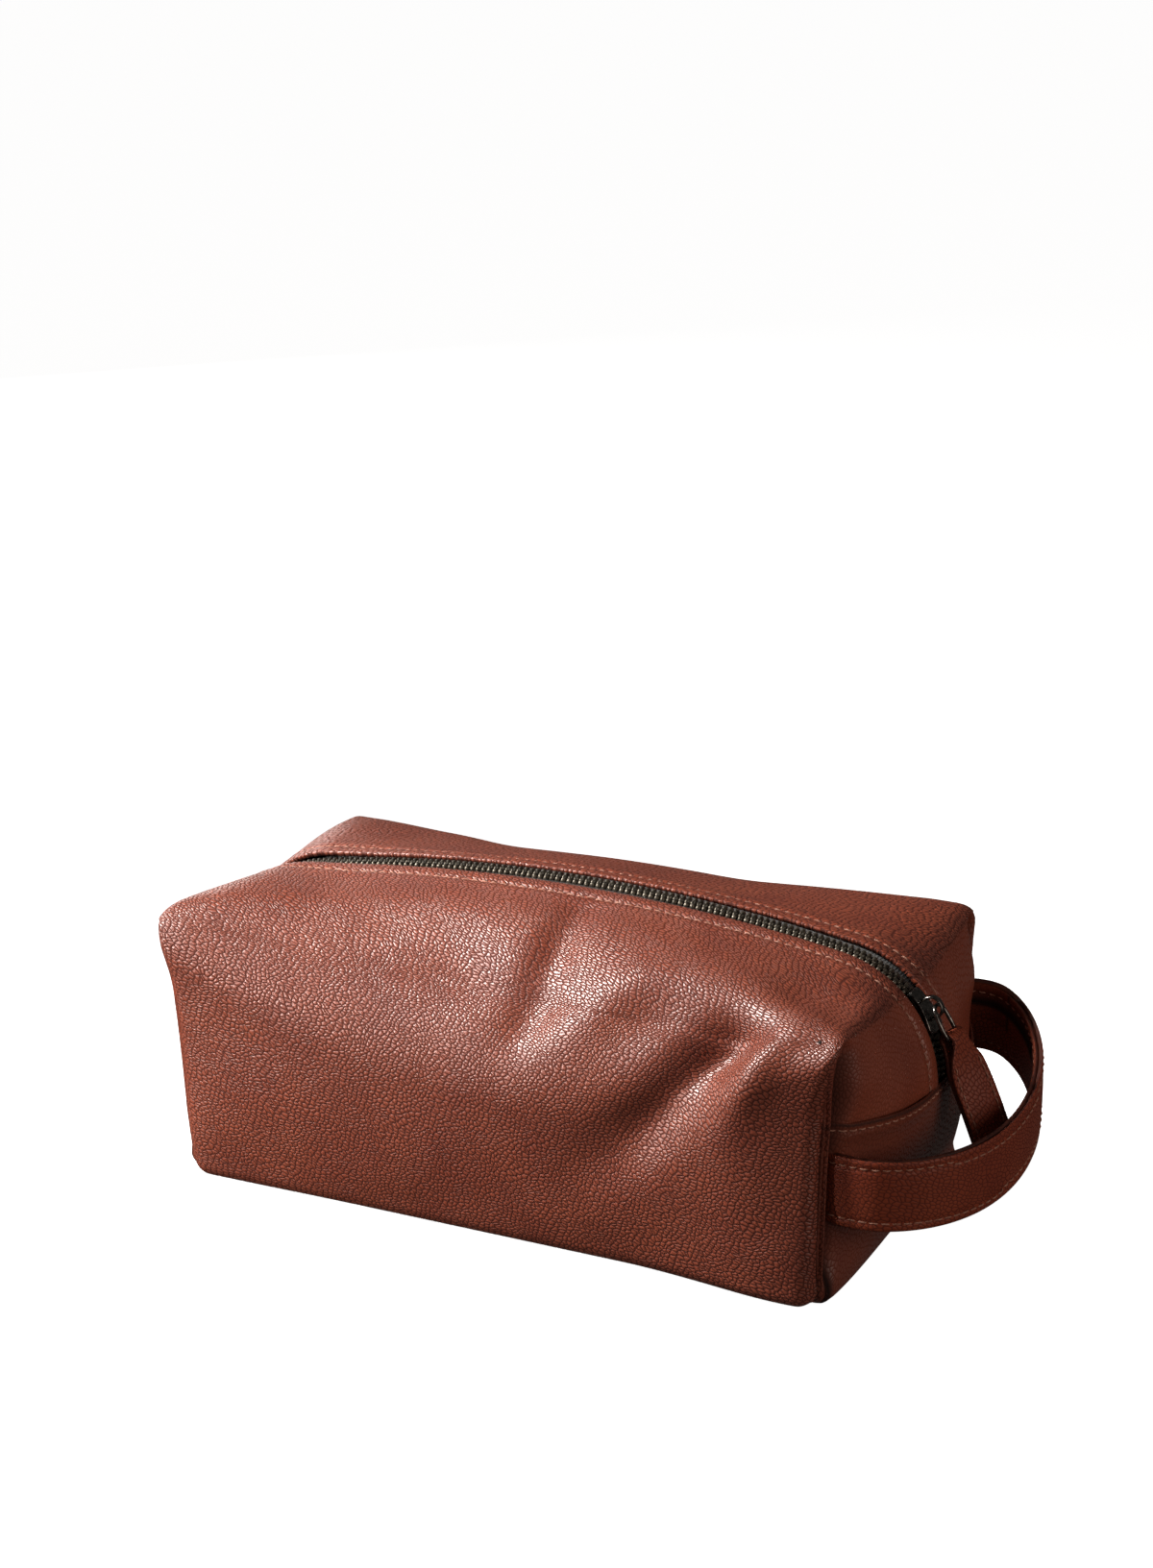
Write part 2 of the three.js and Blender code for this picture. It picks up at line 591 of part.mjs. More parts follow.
// The pull is one strip of leather, folded round the ring's lower bar and sewn to itself. Its side view is a
// loop that closes into two layers, and its front view is a narrow neck that widens to the full pull.
const loopInner = 2.1;
const loopOuter = loopInner + PULL_LEATHER;
const sideView = new THREE.Shape();
sideView.moveTo(-PULL_LEATHER - 0.1, -PULL_LENGTH);
sideView.lineTo(PULL_LEATHER + 0.1, -PULL_LENGTH);
sideView.lineTo(PULL_LEATHER + 0.1, -9);
sideView.quadraticCurveTo(PULL_LEATHER + 0.4, -6, loopOuter * 0.95, -1.2);
sideView.absarc(0, 0, loopOuter, -0.35, Math.PI + 0.35);
sideView.quadraticCurveTo(-PULL_LEATHER - 0.4, -6, -PULL_LEATHER - 0.1, -9);
const loopHole = new THREE.Path();
loopHole.absarc(0, 0, loopInner, -0.5, Math.PI + 0.5);
loopHole.lineTo(0, -5.4);
sideView.holes.push(loopHole);
const sideSolid = new THREE.ExtrudeGeometry(sideView, {
  depth: PULL_WIDTH,
  bevelEnabled: false,
  curveSegments: 7,
});
sideSolid.translate(0, 0, -PULL_WIDTH / 2);
sideSolid.rotateX(Math.PI / 2); // its depth now lies along Y, and its length along Z
const frontView = new THREE.Shape();
const neck = PULL_NECK_WIDTH / 2;
const wide = PULL_WIDTH / 2;
frontView.moveTo(-neck, loopOuter + 1);
frontView.lineTo(-neck, -5);
frontView.quadraticCurveTo(-neck, -9, -wide, -13);
frontView.lineTo(-wide, -PULL_LENGTH + 4);
frontView.quadraticCurveTo(-wide, -PULL_LENGTH, -wide + 4, -PULL_LENGTH);
frontView.lineTo(wide - 4, -PULL_LENGTH);
frontView.quadraticCurveTo(wide, -PULL_LENGTH, wide, -PULL_LENGTH + 4);
frontView.lineTo(wide, -13);
frontView.quadraticCurveTo(neck, -9, neck, -5);
frontView.lineTo(neck, loopOuter + 1);
const frontSolid = new THREE.ExtrudeGeometry(frontView, {
  depth: 12,
  bevelEnabled: false,
  curveSegments: 4,
});
frontSolid.translate(0, 0, -6);
frontSolid.rotateX(Math.PI / 2);
frontSolid.rotateZ(Math.PI / 2); // its width now lies along Y, its length along Z and its depth along X
const pull = addPiece("leather_pull", solidOf(sideSolid).intersect(solidOf(frontSolid)), LEATHER_FINISH);
pull.position.copy(RING_BAR);
pull.rotation.set(0, -PULL_TILT, -PULL_YAW, "YXZ");

// ---------- grab strap ----------

// The strap's outer face in plan, for t from the front root (-1) to the back root (1)
function strapPoint(t, inward) {
  const angle = (t * Math.PI) / 2;
  const x = STRAP_ROOT_X + (STRAP_REACH - inward) * Math.cos(angle);
  const y = (STRAP_HALF_SPAN - inward) * Math.sin(angle);
  return [x, y];
}

function strapLayer(outer, inner) {
  const steps = 18;
  const sections = [];
  for (let i = 0; i <= steps; i++) {
    const t = Math.sin((Math.PI / 2) * ((2 * i) / steps - 1)) * 0.985;
    const [x0, y0] = strapPoint(t, outer);
    const [x1, y1] = strapPoint(t, inner);
    const share = y0 / STRAP_HALF_SPAN;
    const middle = STRAP_HEIGHT[0] + STRAP_HEIGHT[1] * share + STRAP_HEIGHT[2] * share * share;
    const fromRoot = Math.min(x0 - STRAP_ROOT_X, STRAP_WIDTH / 2);
    const radius = STRAP_WIDTH / 2;
    const half = Math.max(2, Math.sqrt(radius ** 2 - (radius - fromRoot) ** 2));
    sections.push([
      new THREE.Vector3(x0, y0, middle - half),
      new THREE.Vector3(x0, y0, middle + half),
      new THREE.Vector3(x1, y1, middle + half),
      new THREE.Vector3(x1, y1, middle - half),
    ]);
  }
  return loft(sections);
}
addPiece("strap_outer", strapLayer(0, STRAP_LAYER), LEATHER_FINISH);
addPiece("strap_inner", strapLayer(STRAP_LAYER + GAP, 2 * STRAP_LAYER + GAP), LEATHER_FINISH);

export default group;
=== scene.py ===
import math

import bmesh
import bpy
import numpy as np
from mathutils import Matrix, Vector
from mathutils.bvhtree import BVHTree


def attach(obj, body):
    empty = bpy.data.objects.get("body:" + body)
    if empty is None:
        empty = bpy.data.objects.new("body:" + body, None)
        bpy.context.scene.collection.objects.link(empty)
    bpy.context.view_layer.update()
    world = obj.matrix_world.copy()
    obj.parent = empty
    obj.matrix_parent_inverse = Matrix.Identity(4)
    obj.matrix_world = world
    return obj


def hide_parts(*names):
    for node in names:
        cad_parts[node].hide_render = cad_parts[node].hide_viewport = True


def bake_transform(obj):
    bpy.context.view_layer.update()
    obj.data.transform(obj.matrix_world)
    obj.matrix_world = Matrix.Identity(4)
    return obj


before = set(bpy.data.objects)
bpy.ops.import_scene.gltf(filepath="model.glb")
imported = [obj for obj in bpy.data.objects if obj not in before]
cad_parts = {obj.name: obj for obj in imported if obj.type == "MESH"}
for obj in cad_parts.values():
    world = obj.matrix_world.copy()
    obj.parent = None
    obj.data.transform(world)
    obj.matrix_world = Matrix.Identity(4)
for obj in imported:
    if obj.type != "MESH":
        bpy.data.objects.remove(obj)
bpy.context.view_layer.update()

# ---------------------------------------------------------------------------------------------------------------
# The table and the light: the bag stands on a plain pale table. A narrow light hangs over its left shoulder,
# and a weaker one below it lights the left of the front wall. Broad ones fill in from behind and from the right.


def put_in_scene(name, data):
    thing = bpy.data.objects.new(name, data)
    bpy.context.scene.collection.objects.link(thing)
    return thing


camera_data = bpy.data.cameras.new("camera")
camera_data.lens = 75
camera_data.sensor_width = 36
camera_data.clip_end = 60
camera = put_in_scene("camera", camera_data)
camera.location = (0.4915, -0.9939, 0.4979)
camera_dip, camera_turn = 17.5, 26.26
camera.rotation_euler = (math.radians(90 - camera_dip), 0, math.radians(camera_turn))
bpy.context.scene.camera = camera
bpy.context.scene.view_settings.view_transform = "Standard"

table_mesh = bpy.data.meshes.new("table")
table_half = 16.0
table_corners = [(table_half * x, table_half * y, 0) for x, y in ((-1, -1), (1, -1), (1, 1), (-1, 1))]
table_mesh.from_pydata(table_corners, [], [(0, 1, 2, 3)])
table = put_in_scene("table", table_mesh)
pale = bpy.data.materials.new("pale_table")
pale.use_nodes = True
pale_shader = pale.node_tree.nodes["Principled BSDF"]
pale_shader.inputs["Base Color"].default_value = (0.86, 0.86, 0.86, 1)
pale_shader.inputs["Roughness"].default_value = 0.9
pale_shader.inputs["Specular IOR Level"].default_value = 0.1
pale_shader.inputs["Emission Color"].default_value = (1, 1, 1, 1)
pale_shader.inputs["Emission Strength"].default_value = 0.94
table_mesh.materials.append(pale)
table.visible_diffuse = False
table.visible_glossy = False

room = bpy.data.worlds.new("room")
room.use_nodes = True
room.node_tree.nodes["Background"].inputs["Color"].default_value = (1, 0.92, 0.86, 1)
room.node_tree.nodes["Background"].inputs["Strength"].default_value = 0.05
bpy.context.scene.world = room


def soft_light(name, place, aim, width, height, power, tint=(1, 1, 1), spread=180):
    data = bpy.data.lights.new(name, "AREA")
    data.spread = math.radians(spread)
    data.shape = "RECTANGLE"
    data.size = width
    data.size_y = height
    data.energy = power
    data.color = tint
    lamp = put_in_scene(name, data)
    lamp.location = place
    lamp.rotation_euler = (Vector(aim) - Vector(place)).to_track_quat("-Z", "Y").to_euler()


soft_light("left_key", (-0.82, -0.35, 0.84), (0.0, -0.02, 0.10), 0.28, 0.28, 1.2, (1, 0.98, 0.95), 36)
soft_light("left_front_kick", (-0.78, -0.80, 0.28), (-0.17, -0.07, 0.03), 0.3, 0.3, 0.26, (1, 0.95, 0.9), 24)
soft_light("back_fill", (-1.2, 1.05, 0.34), (0, 0.04, 0.05), 0.6, 0.5, 3.2, (1, 0.97, 0.94))
soft_light("right_fill", (1.4, -0.3, 0.5), (0.05, 0, 0.05), 0.9, 0.7, 4.4, (1, 0.86, 0.76))

# ---------------------------------------------------------------------------------------------------------------
# Front and back leather: one hide for each side, from a lip under the base, up the wall, over the round shoulder
# to the zip, and round both upper ends. 1.8 mm full-grain cowhide, sewn inside out along the corner folds and
# turned, so each fold is a soft roll beside a deep crease. All lengths below are millimetres.

half_width = 67.5
base_half_width = 67.0
ridge_height = 98.0
corner_half_length = 121.5
corner_flare = 8.5
end_foot = 125.5
belly = 3.6
crown_height = 114.5
bend_x, bend_z, bend_radius = 98.0, 60.5, 45.0
bend_top = math.radians(79.6)
bend_corner = math.radians(45)
crown_half_length = bend_x + bend_radius * math.cos(bend_top)
crown_edge = bend_z + bend_radius * math.sin(bend_top)
end_seam_at_wall = 65.0
seam_share = 0.5
crown_share = 0.8
zip_slot = 6.2
foot_radius = 5.0
crease_at = 5.6  # how far round the corner the sewn crease lies
hide_thickness = 1.8
hide_half, end_run = 130, 70  # on the flat hide: half its length along the ridge, and an end's length down from there
corner_rise = {-1: (0.9, -1.6), 1: (2.4, 1.0)}  # side: mean rise of the two top corners, and its slope along the bag


def mix(p, q, share):
    return p + (q - p) * share


def ease(x, low, high):
    t = np.clip((x - low) / (high - low), 0, 1)
    return t * t * (3 - 2 * t)


def fold_x(z):
    return corner_half_length + corner_flare * (np.clip(z, 0, None) / ridge_height) ** 4


def end_middle(c):
    """The end's line at the zip, from the floor (0) through the seam (0.5) to the top (1)."""
    angle = bend_corner * (c - seam_share) / (1 - seam_share)
    u = np.clip(c / seam_share, 0, 1)
    low_x = (1 - u) ** 2 * end_foot + (1 - (1 - u) ** 2) * (bend_x + bend_radius)
    low_z = 2 * u * (1 - u) * bend_z * 0.46 + u * u * bend_z
    above = c >= seam_share
    x = np.where(above, bend_x + bend_radius * np.cos(angle), low_x)
    z = np.where(above, bend_z + bend_radius * np.sin(angle), low_z)
    return x, z


def end_corner(c):
    z = np.where(
        c < seam_share,
        end_seam_at_wall * c / seam_share,
        mix(end_seam_at_wall, ridge_height, (c - seam_share) / (1 - seam_share)),
    )
    return fold_x(z), z


def column_of(ridge_x):
    """The column's place, -1 to 1, and the zip line's point for a place on the ridge."""
    t = np.abs(ridge_x)
    far = t > crown_half_length
    tail = (t - crown_half_length) / (fold_x(ridge_height) - crown_half_length)
    angle = mix(bend_top, bend_corner, tail)
    a = np.where(far, crown_share + (1 - crown_share) * tail, crown_share * t / crown_half_length)
    x = np.where(far, bend_x + bend_radius * np.cos(angle), t)
    crown = crown_height - (crown_height - crown_edge) * (t / crown_half_length) ** 2
    z = np.where(far, bend_z + bend_radius * np.sin(angle), crown)
    return a * np.sign(ridge_x), x, z


def shoulder_radius(a, side):
    """Broad and settled along the front, tighter along the back, and tightest at the corners."""
    middle = np.clip(1 - a * a, 0, 1)
    if side < 0:
        return mix(mix(15.0, 9.0, (a + 1) / 2), 46.0, middle)
    return mix(7.0, 27.0, middle**1.1)


def round_edge(p, q, radius):
    """Turns the square corner where p and q reach 0 into a round one: how far each moves inwards."""
    u = np.clip(radius - p, 0, None)
    v = np.clip(radius - q, 0, None)
    both = np.minimum(u, v) > 0
    longest = np.maximum(u, v)
    share = np.where(both, longest / np.maximum(np.hypot(u, v), 1e-9), 1)
    return u * (1 - share), v * (1 - share)


def crease_depth(t, z, side):
    """How deep the leather goes in beside the corner roll, t round the corner from the wall. Beyond the crease the
    end lies a little behind the roll."""
    hollow = ease(z, 60, 78) * (1 - ease(z, 91, 96.5))
    depth = mix(5.0, np.where(side < 0, 9.5, 6.0), hollow) * (1 - ease(z, 92, 97)) * ease(z, 5, 22)
    wide = mix(3.6, 5.0, hollow)
    width = np.where(t < crease_at, 1.7, wide)
    behind = 3.2 * ease(t, 2.6, 6.4) * (1 - ease(t, 12, 38)) * (1 - ease(z, 62, 80)) * ease(z, 4, 20)
    return depth * np.exp(-(((t - crease_at) / width) ** 2)) + behind


def settle(x, y, z, a, b, dx, dy, dz, side, end):
    """Rounds the edges, lifts the corners and sinks the crease. dx, dy and dz are the distances from the corner's
    fold, from the wall and from the ridge."""
    iy, iz = round_edge(dy, dz, shoulder_radius(a, side))
    ix, iy2 = round_edge(dx, dy, mix(9.0, 6.0, ease(z, 0, 25)) - 2.6 * ease(z, 70, 92))
    ix2, iz2 = round_edge(dx, dz, np.where(side > 0, 8.0, 5.0))
    ear = np.abs(b) ** 2
    foot = np.clip(foot_radius - z, 0, foot_radius)
    inset = foot_radius - np.sqrt(foot_radius**2 - foot**2)
    sunk = np.where(dx <= 1e-6, crease_depth(dy, z, side), 0)
    x = x - end * (ix + ix2 * ear + inset * np.clip(1 - dx / 8, 0, 1) + sunk)
    y = y - side * (iy + iy2 + inset * 0.75 * np.clip(1 - dy / 8, 0, 1))
    mean, slope = corner_rise[side]
    lift = (mean + slope * x / 130) * np.clip(z / ridge_height, 0, 1) ** 3 * ear
    # The wall turns into its corner over a long easy curve
    easiest = (side < 0) & (x > 0)
    turned = np.clip(1 - dx / np.where(easiest, 30.0, 14.0), 0, 1)
    drawn_in_by = np.where(easiest, 5.0, 2.2) * (1 - np.sqrt(1 - turned**2))
    y = y - side * drawn_in_by * np.clip(1 - dy / 14, 0, 1) * (1 - ease(z, 66, 90))
    return spread_corners(x, y, z - iz - iz2 * ear + lift)


# Which corner (along, over) of the bag, and how far it stands out along and across, at the foot and at the top
corner_spread = (
    (-1, -1, 4.8, 8.2, 1.2, 0.6),
    (1, 1, 5.2, 0.6, 0.0, 1.2),
    (1, -1, 5.2, 0.8, 7.6, 1.0),
    (-1, 1, 1.0, 1.0, 0.0, 0.8),
)


def spread_corners(x, y, z):
    """The bag isn't quite true: its corners stand out from the square, each in its own way."""
    high = np.clip(z / ridge_height, 0, 1)
    for along, over, low_x, high_x, low_y, high_y in corner_spread:
        weight = ease(along * x, 50, 128) * ease(over * y, 5, 66)
        x = x + along * weight * mix(low_x, high_x, high)
        y = y + over * weight * mix(low_y, high_y, high)
    x = x + 2.2 * ease(x, 90, 125) * ease(y, 30, 60) * np.exp(-(((z - 76) / 14) ** 2))
    upper = ease(z, 60, 95)
    z = z + 3.2 * upper * ease(-x, 80, 122) * np.sin(np.pi * np.clip(np.abs(y) / 68, 0, 1))
    z = z + upper * ease(y, 12, 52) * (2.6 * ease(x, 0, 100) + 0.8 * ease(-x, 20, 100))
    return x, y, z


def wall_face(ridge_x, z, side):
    a, _, _ = column_of(ridge_x)
    x = ridge_x * fold_x(z) / fold_x(ridge_height)
    bow = belly * (1 - a**4) * np.sin(np.pi * (z / ridge_height) ** 0.72)
    y = side * (mix(base_half_width, half_width, z / ridge_height) + bow)
    far = np.zeros_like(x)
    end = np.sign(ridge_x)
    return settle(x, y, z, a, far + 1, fold_x(z) - np.abs(x), far, ridge_height - z, side, end)


def top_face(ridge_x, t, side):
    a, mid_x, mid_z = column_of(ridge_x)
    end = np.sign(ridge_x)
    b = 1 - t / half_width
    tail = np.clip((np.abs(a) - crown_share) / (1 - crown_share), 0, 1)
    share = (1 - b ** mix(1.6, 1.9, tail)) * mix(t / (t + 0.13 * shoulder_radius(a, side)), 1, tail)
    x = end * mix(np.abs(ridge_x), mid_x, share)
    z = mix(ridge_height, mid_z, share)
    edge = mix(fold_x(ridge_height), bend_x + bend_radius * math.cos(bend_corner), 1 - b**1.9)
    dx = np.where(np.abs(a) >= 1, 0, edge - np.abs(x))
    return settle(x, side * b * half_width, z, a, b, dx, t, t * 0, side, end)


def end_face(t, c, side, end, lift=0.0):
    b = 1 - t / half_width
    corner_x, corner_z = end_corner(c)
    mid_x, mid_z = end_middle(c)
    power = mix(2.2, 1.9, np.clip((c - seam_share) / (1 - seam_share), 0, 1))
    share = 1 - np.abs(b) ** power
    z = mix(corner_z, mid_z, share)
    x = end * (mix(corner_x, mid_x, share) + lift)
    y = side * b * mix(base_half_width, half_width, np.clip(z / ridge_height, 0, 1))
    a = end * np.ones_like(t)
    return settle(x, y, z, a, b, t * 0, t, ridge_height - corner_z, side, end)


def place_rows(spacing_by_stretch):
    """Row places from a list of (start, stop, spacing)."""
    rows = []
    for start, stop, spacing in spacing_by_stretch:
        rows.append(np.linspace(start, stop, max(2, int(round(abs(stop - start) / spacing)) + 1))[:-1])
    return np.append(np.concatenate(rows), spacing_by_stretch[-1][1])


class Patchwork:
    """Grids of points with their place on the flat hide, in millimetres, joined where they meet."""

    def __init__(self):
        self.points, self.flat, self.laid, self.quads = [], [], [], []
        self.count = 0

    def add(self, xyz, uv, laid=None):
        """uv is the place used for shaping, laid the unstretched place that the grain lies on."""
        x, y, z = xyz
        rows, columns = x.shape
        self.points.append(np.stack([x, y, z], -1).reshape(-1, 3))
        for places, (u, v) in ((self.flat, uv), (self.laid, laid or uv)):
            places.append(np.stack([np.broadcast_to(u, x.shape), np.broadcast_to(v, x.shape)], -1).reshape(-1, 2))
        i = np.arange(rows - 1)[:, None] * columns + np.arange(columns - 1)[None]
        quad = np.stack([i, i + 1, i + columns + 1, i + columns], -1).reshape(-1, 4)
        self.quads.append(quad + self.count)
        self.count += rows * columns

    def build(self, name, shape=None):
        points = np.concatenate(self.points)
        quads = np.concatenate(self.quads)
        mesh = bpy.data.meshes.new(name)
        mesh.from_pydata((points / 1000).tolist(), [], quads.tolist())
        for label, places in (("hide", self.laid), ("flat", self.flat)):
            layer = mesh.uv_layers.new(name=label)
            layer.data.foreach_set("uv", (np.concatenate(places)[quads.ravel()] / 1000).astype(np.float32).ravel())
        work = bmesh.new()
        work.from_mesh(mesh)
        bmesh.ops.remove_doubles(work, verts=work.verts, dist=2e-5)
        bmesh.ops.recalc_face_normals(work, faces=work.faces)
        middle = Vector((0, 0, 0.05))
        outward = sum(f.normal.dot(f.calc_center_median() - middle) * f.calc_area() for f in work.faces)
        if outward < 0:
            bmesh.ops.reverse_faces(work, faces=work.faces)
        work.to_mesh(mesh)
        work.free()
        if shape is not None:
            shape_hide(mesh, shape)
        shade_folds(mesh)
        mesh.uv_layers.remove(mesh.uv_layers["flat"])
        for polygon in mesh.polygons:
            polygon.use_smooth = True
        return put_in_scene(name, mesh)


def shape_hide(mesh, shape):
    """Moves every point of a hide along its normal by shape(x, y, z, u, v) millimetres."""
    count = len(mesh.vertices)
    place = np.empty(count * 3, np.float32)
    mesh.vertices.foreach_get("co", place)
    place = place.reshape(-1, 3).astype(float)
    facing = np.empty(count * 3, np.float32)
    mesh.vertex_normals.foreach_get("vector", facing)
    facing = facing.reshape(-1, 3).astype(float)
    corner_vertex = np.empty(len(mesh.loops), np.int32)
    mesh.loops.foreach_get("vertex_index", corner_vertex)
    flat = np.empty(len(mesh.loops) * 2, np.float32)
    mesh.uv_layers["flat"].data.foreach_get("uv", flat)
    uv = np.zeros((count, 2))
    uv[corner_vertex] = flat.reshape(-1, 2)
    moved = shape(*(place.T * 1000), *(uv.T * 1000))
    place += facing * (moved / 1000)[:, None]
    mesh.vertices.foreach_set("co", place.astype(np.float32).ravel())
    mesh.update()


def shade_folds(mesh):
    """Marks painted shade down in the corner creases, a painted shadow line along the end seams and a little painted
    shade over the lower ends, and marks the ends, where the grain is pulled flat."""
    layer = mesh.uv_layers["flat"].data
    tucked = np.zeros(len(mesh.vertices), np.float32)
    drawn = np.zeros(len(mesh.vertices), np.float32)
    for index, corner in enumerate(mesh.loops):
        u, v = layer[index].uv[0] * 1000, layer[index].uv[1] * 1000
        if abs(u) > hide_half + 0.2 and v >= 0:
            share = 1 - (abs(u) - hide_half) / end_run
            height = end_seam_at_wall + (share - 0.5) * 66 if share > 0.5 else share * 130
            hollow = min(max((height - 62) / 12, 0), 1) * min(max((96 - height) / 6, 0), 1)
            below = min(max((95 - height) / 5, 0), 1)
            # Painted shade: dark beside the corner crease, wider under the ear's hollow
            away = (v - crease_at) / (1.5 if v < crease_at else 4.6 + 2.2 * hollow)
            # Painted shadow: a dark line along the end seam, where the lower panel's turned edge meets the upper
            # leather
            seam_shadow = math.exp(-(((share - 0.507) / 0.012) ** 2)) if share > 0.49 else 0
            # Painted shade: the lower ends a little darker
            lower = 0.3 if share < 0.49 else 0
            tucked[corner.vertex_index] = max(math.exp(-away * away) * below, 0.85 * seam_shadow, lower)
            drawn[corner.vertex_index] = min(v / 4, 1)
    for label, values in (("tucked", tucked), ("drawn_flat", drawn)):
        mesh.attributes.new(label, "FLOAT", "POINT").data.foreach_set("value", values)


def end_place(end, c, t):
    """The place of a point of an end on the flat hide."""
    return end * (hide_half + end_run * (1 - c)), t


def laid_flat(end, side, c, xyz, t):
    """The grain's own place on an end: real lengths down it and across it, measured from the middle."""
    down = np.where(c < seam_share, 35 + 130 * (seam_share - c), end_run * (1 - c))
    steps = np.sqrt(sum(np.diff(k, axis=1) ** 2 for k in xyz))
    reach = np.concatenate([np.zeros((len(steps), 1)), np.cumsum(steps, axis=1)], axis=1)
    across = t[:, -1:] - (reach[:, -1:] - reach)
    return end * (hide_half + down), np.where(side < 0, across, 2 * half_width - across)


def thicken(thing, thickness, offset=-1, edge_slot=0):
    solid = thing.modifiers.new("thickness", "SOLIDIFY")
    solid.thickness = thickness / 1000
    solid.offset = offset
    solid.material_offset_rim = edge_slot


def maths(tree, operation, *values):
    """A math node whose inputs are numbers or other nodes' outputs."""
    made = tree.nodes.new("ShaderNodeMath")
    made.operation = operation
    for socket, value in zip(made.inputs, values):
        if isinstance(value, (int, float)):
            socket.default_value = value
        else:
            tree.links.new(value, socket)
    return made.outputs[0]


def new_material(name):
    made = bpy.data.materials.new(name)
    made.use_nodes = True
    return made, made.node_tree, made.node_tree.nodes, made.node_tree.links


def two_tones(tree, share, low, low_colour, high, high_colour):
    """A colour that goes from one tone to another as the share rises from low to high."""
    tone = tree.nodes.new("ShaderNodeValToRGB")
    for element, position, colour in zip(tone.color_ramp.elements, (low, high), (low_colour, high_colour)):
        element.position = position
        element.color = (*colour, 1)
    tree.links.new(share, tone.inputs["Fac"])
    return tone.outputs["Color"]


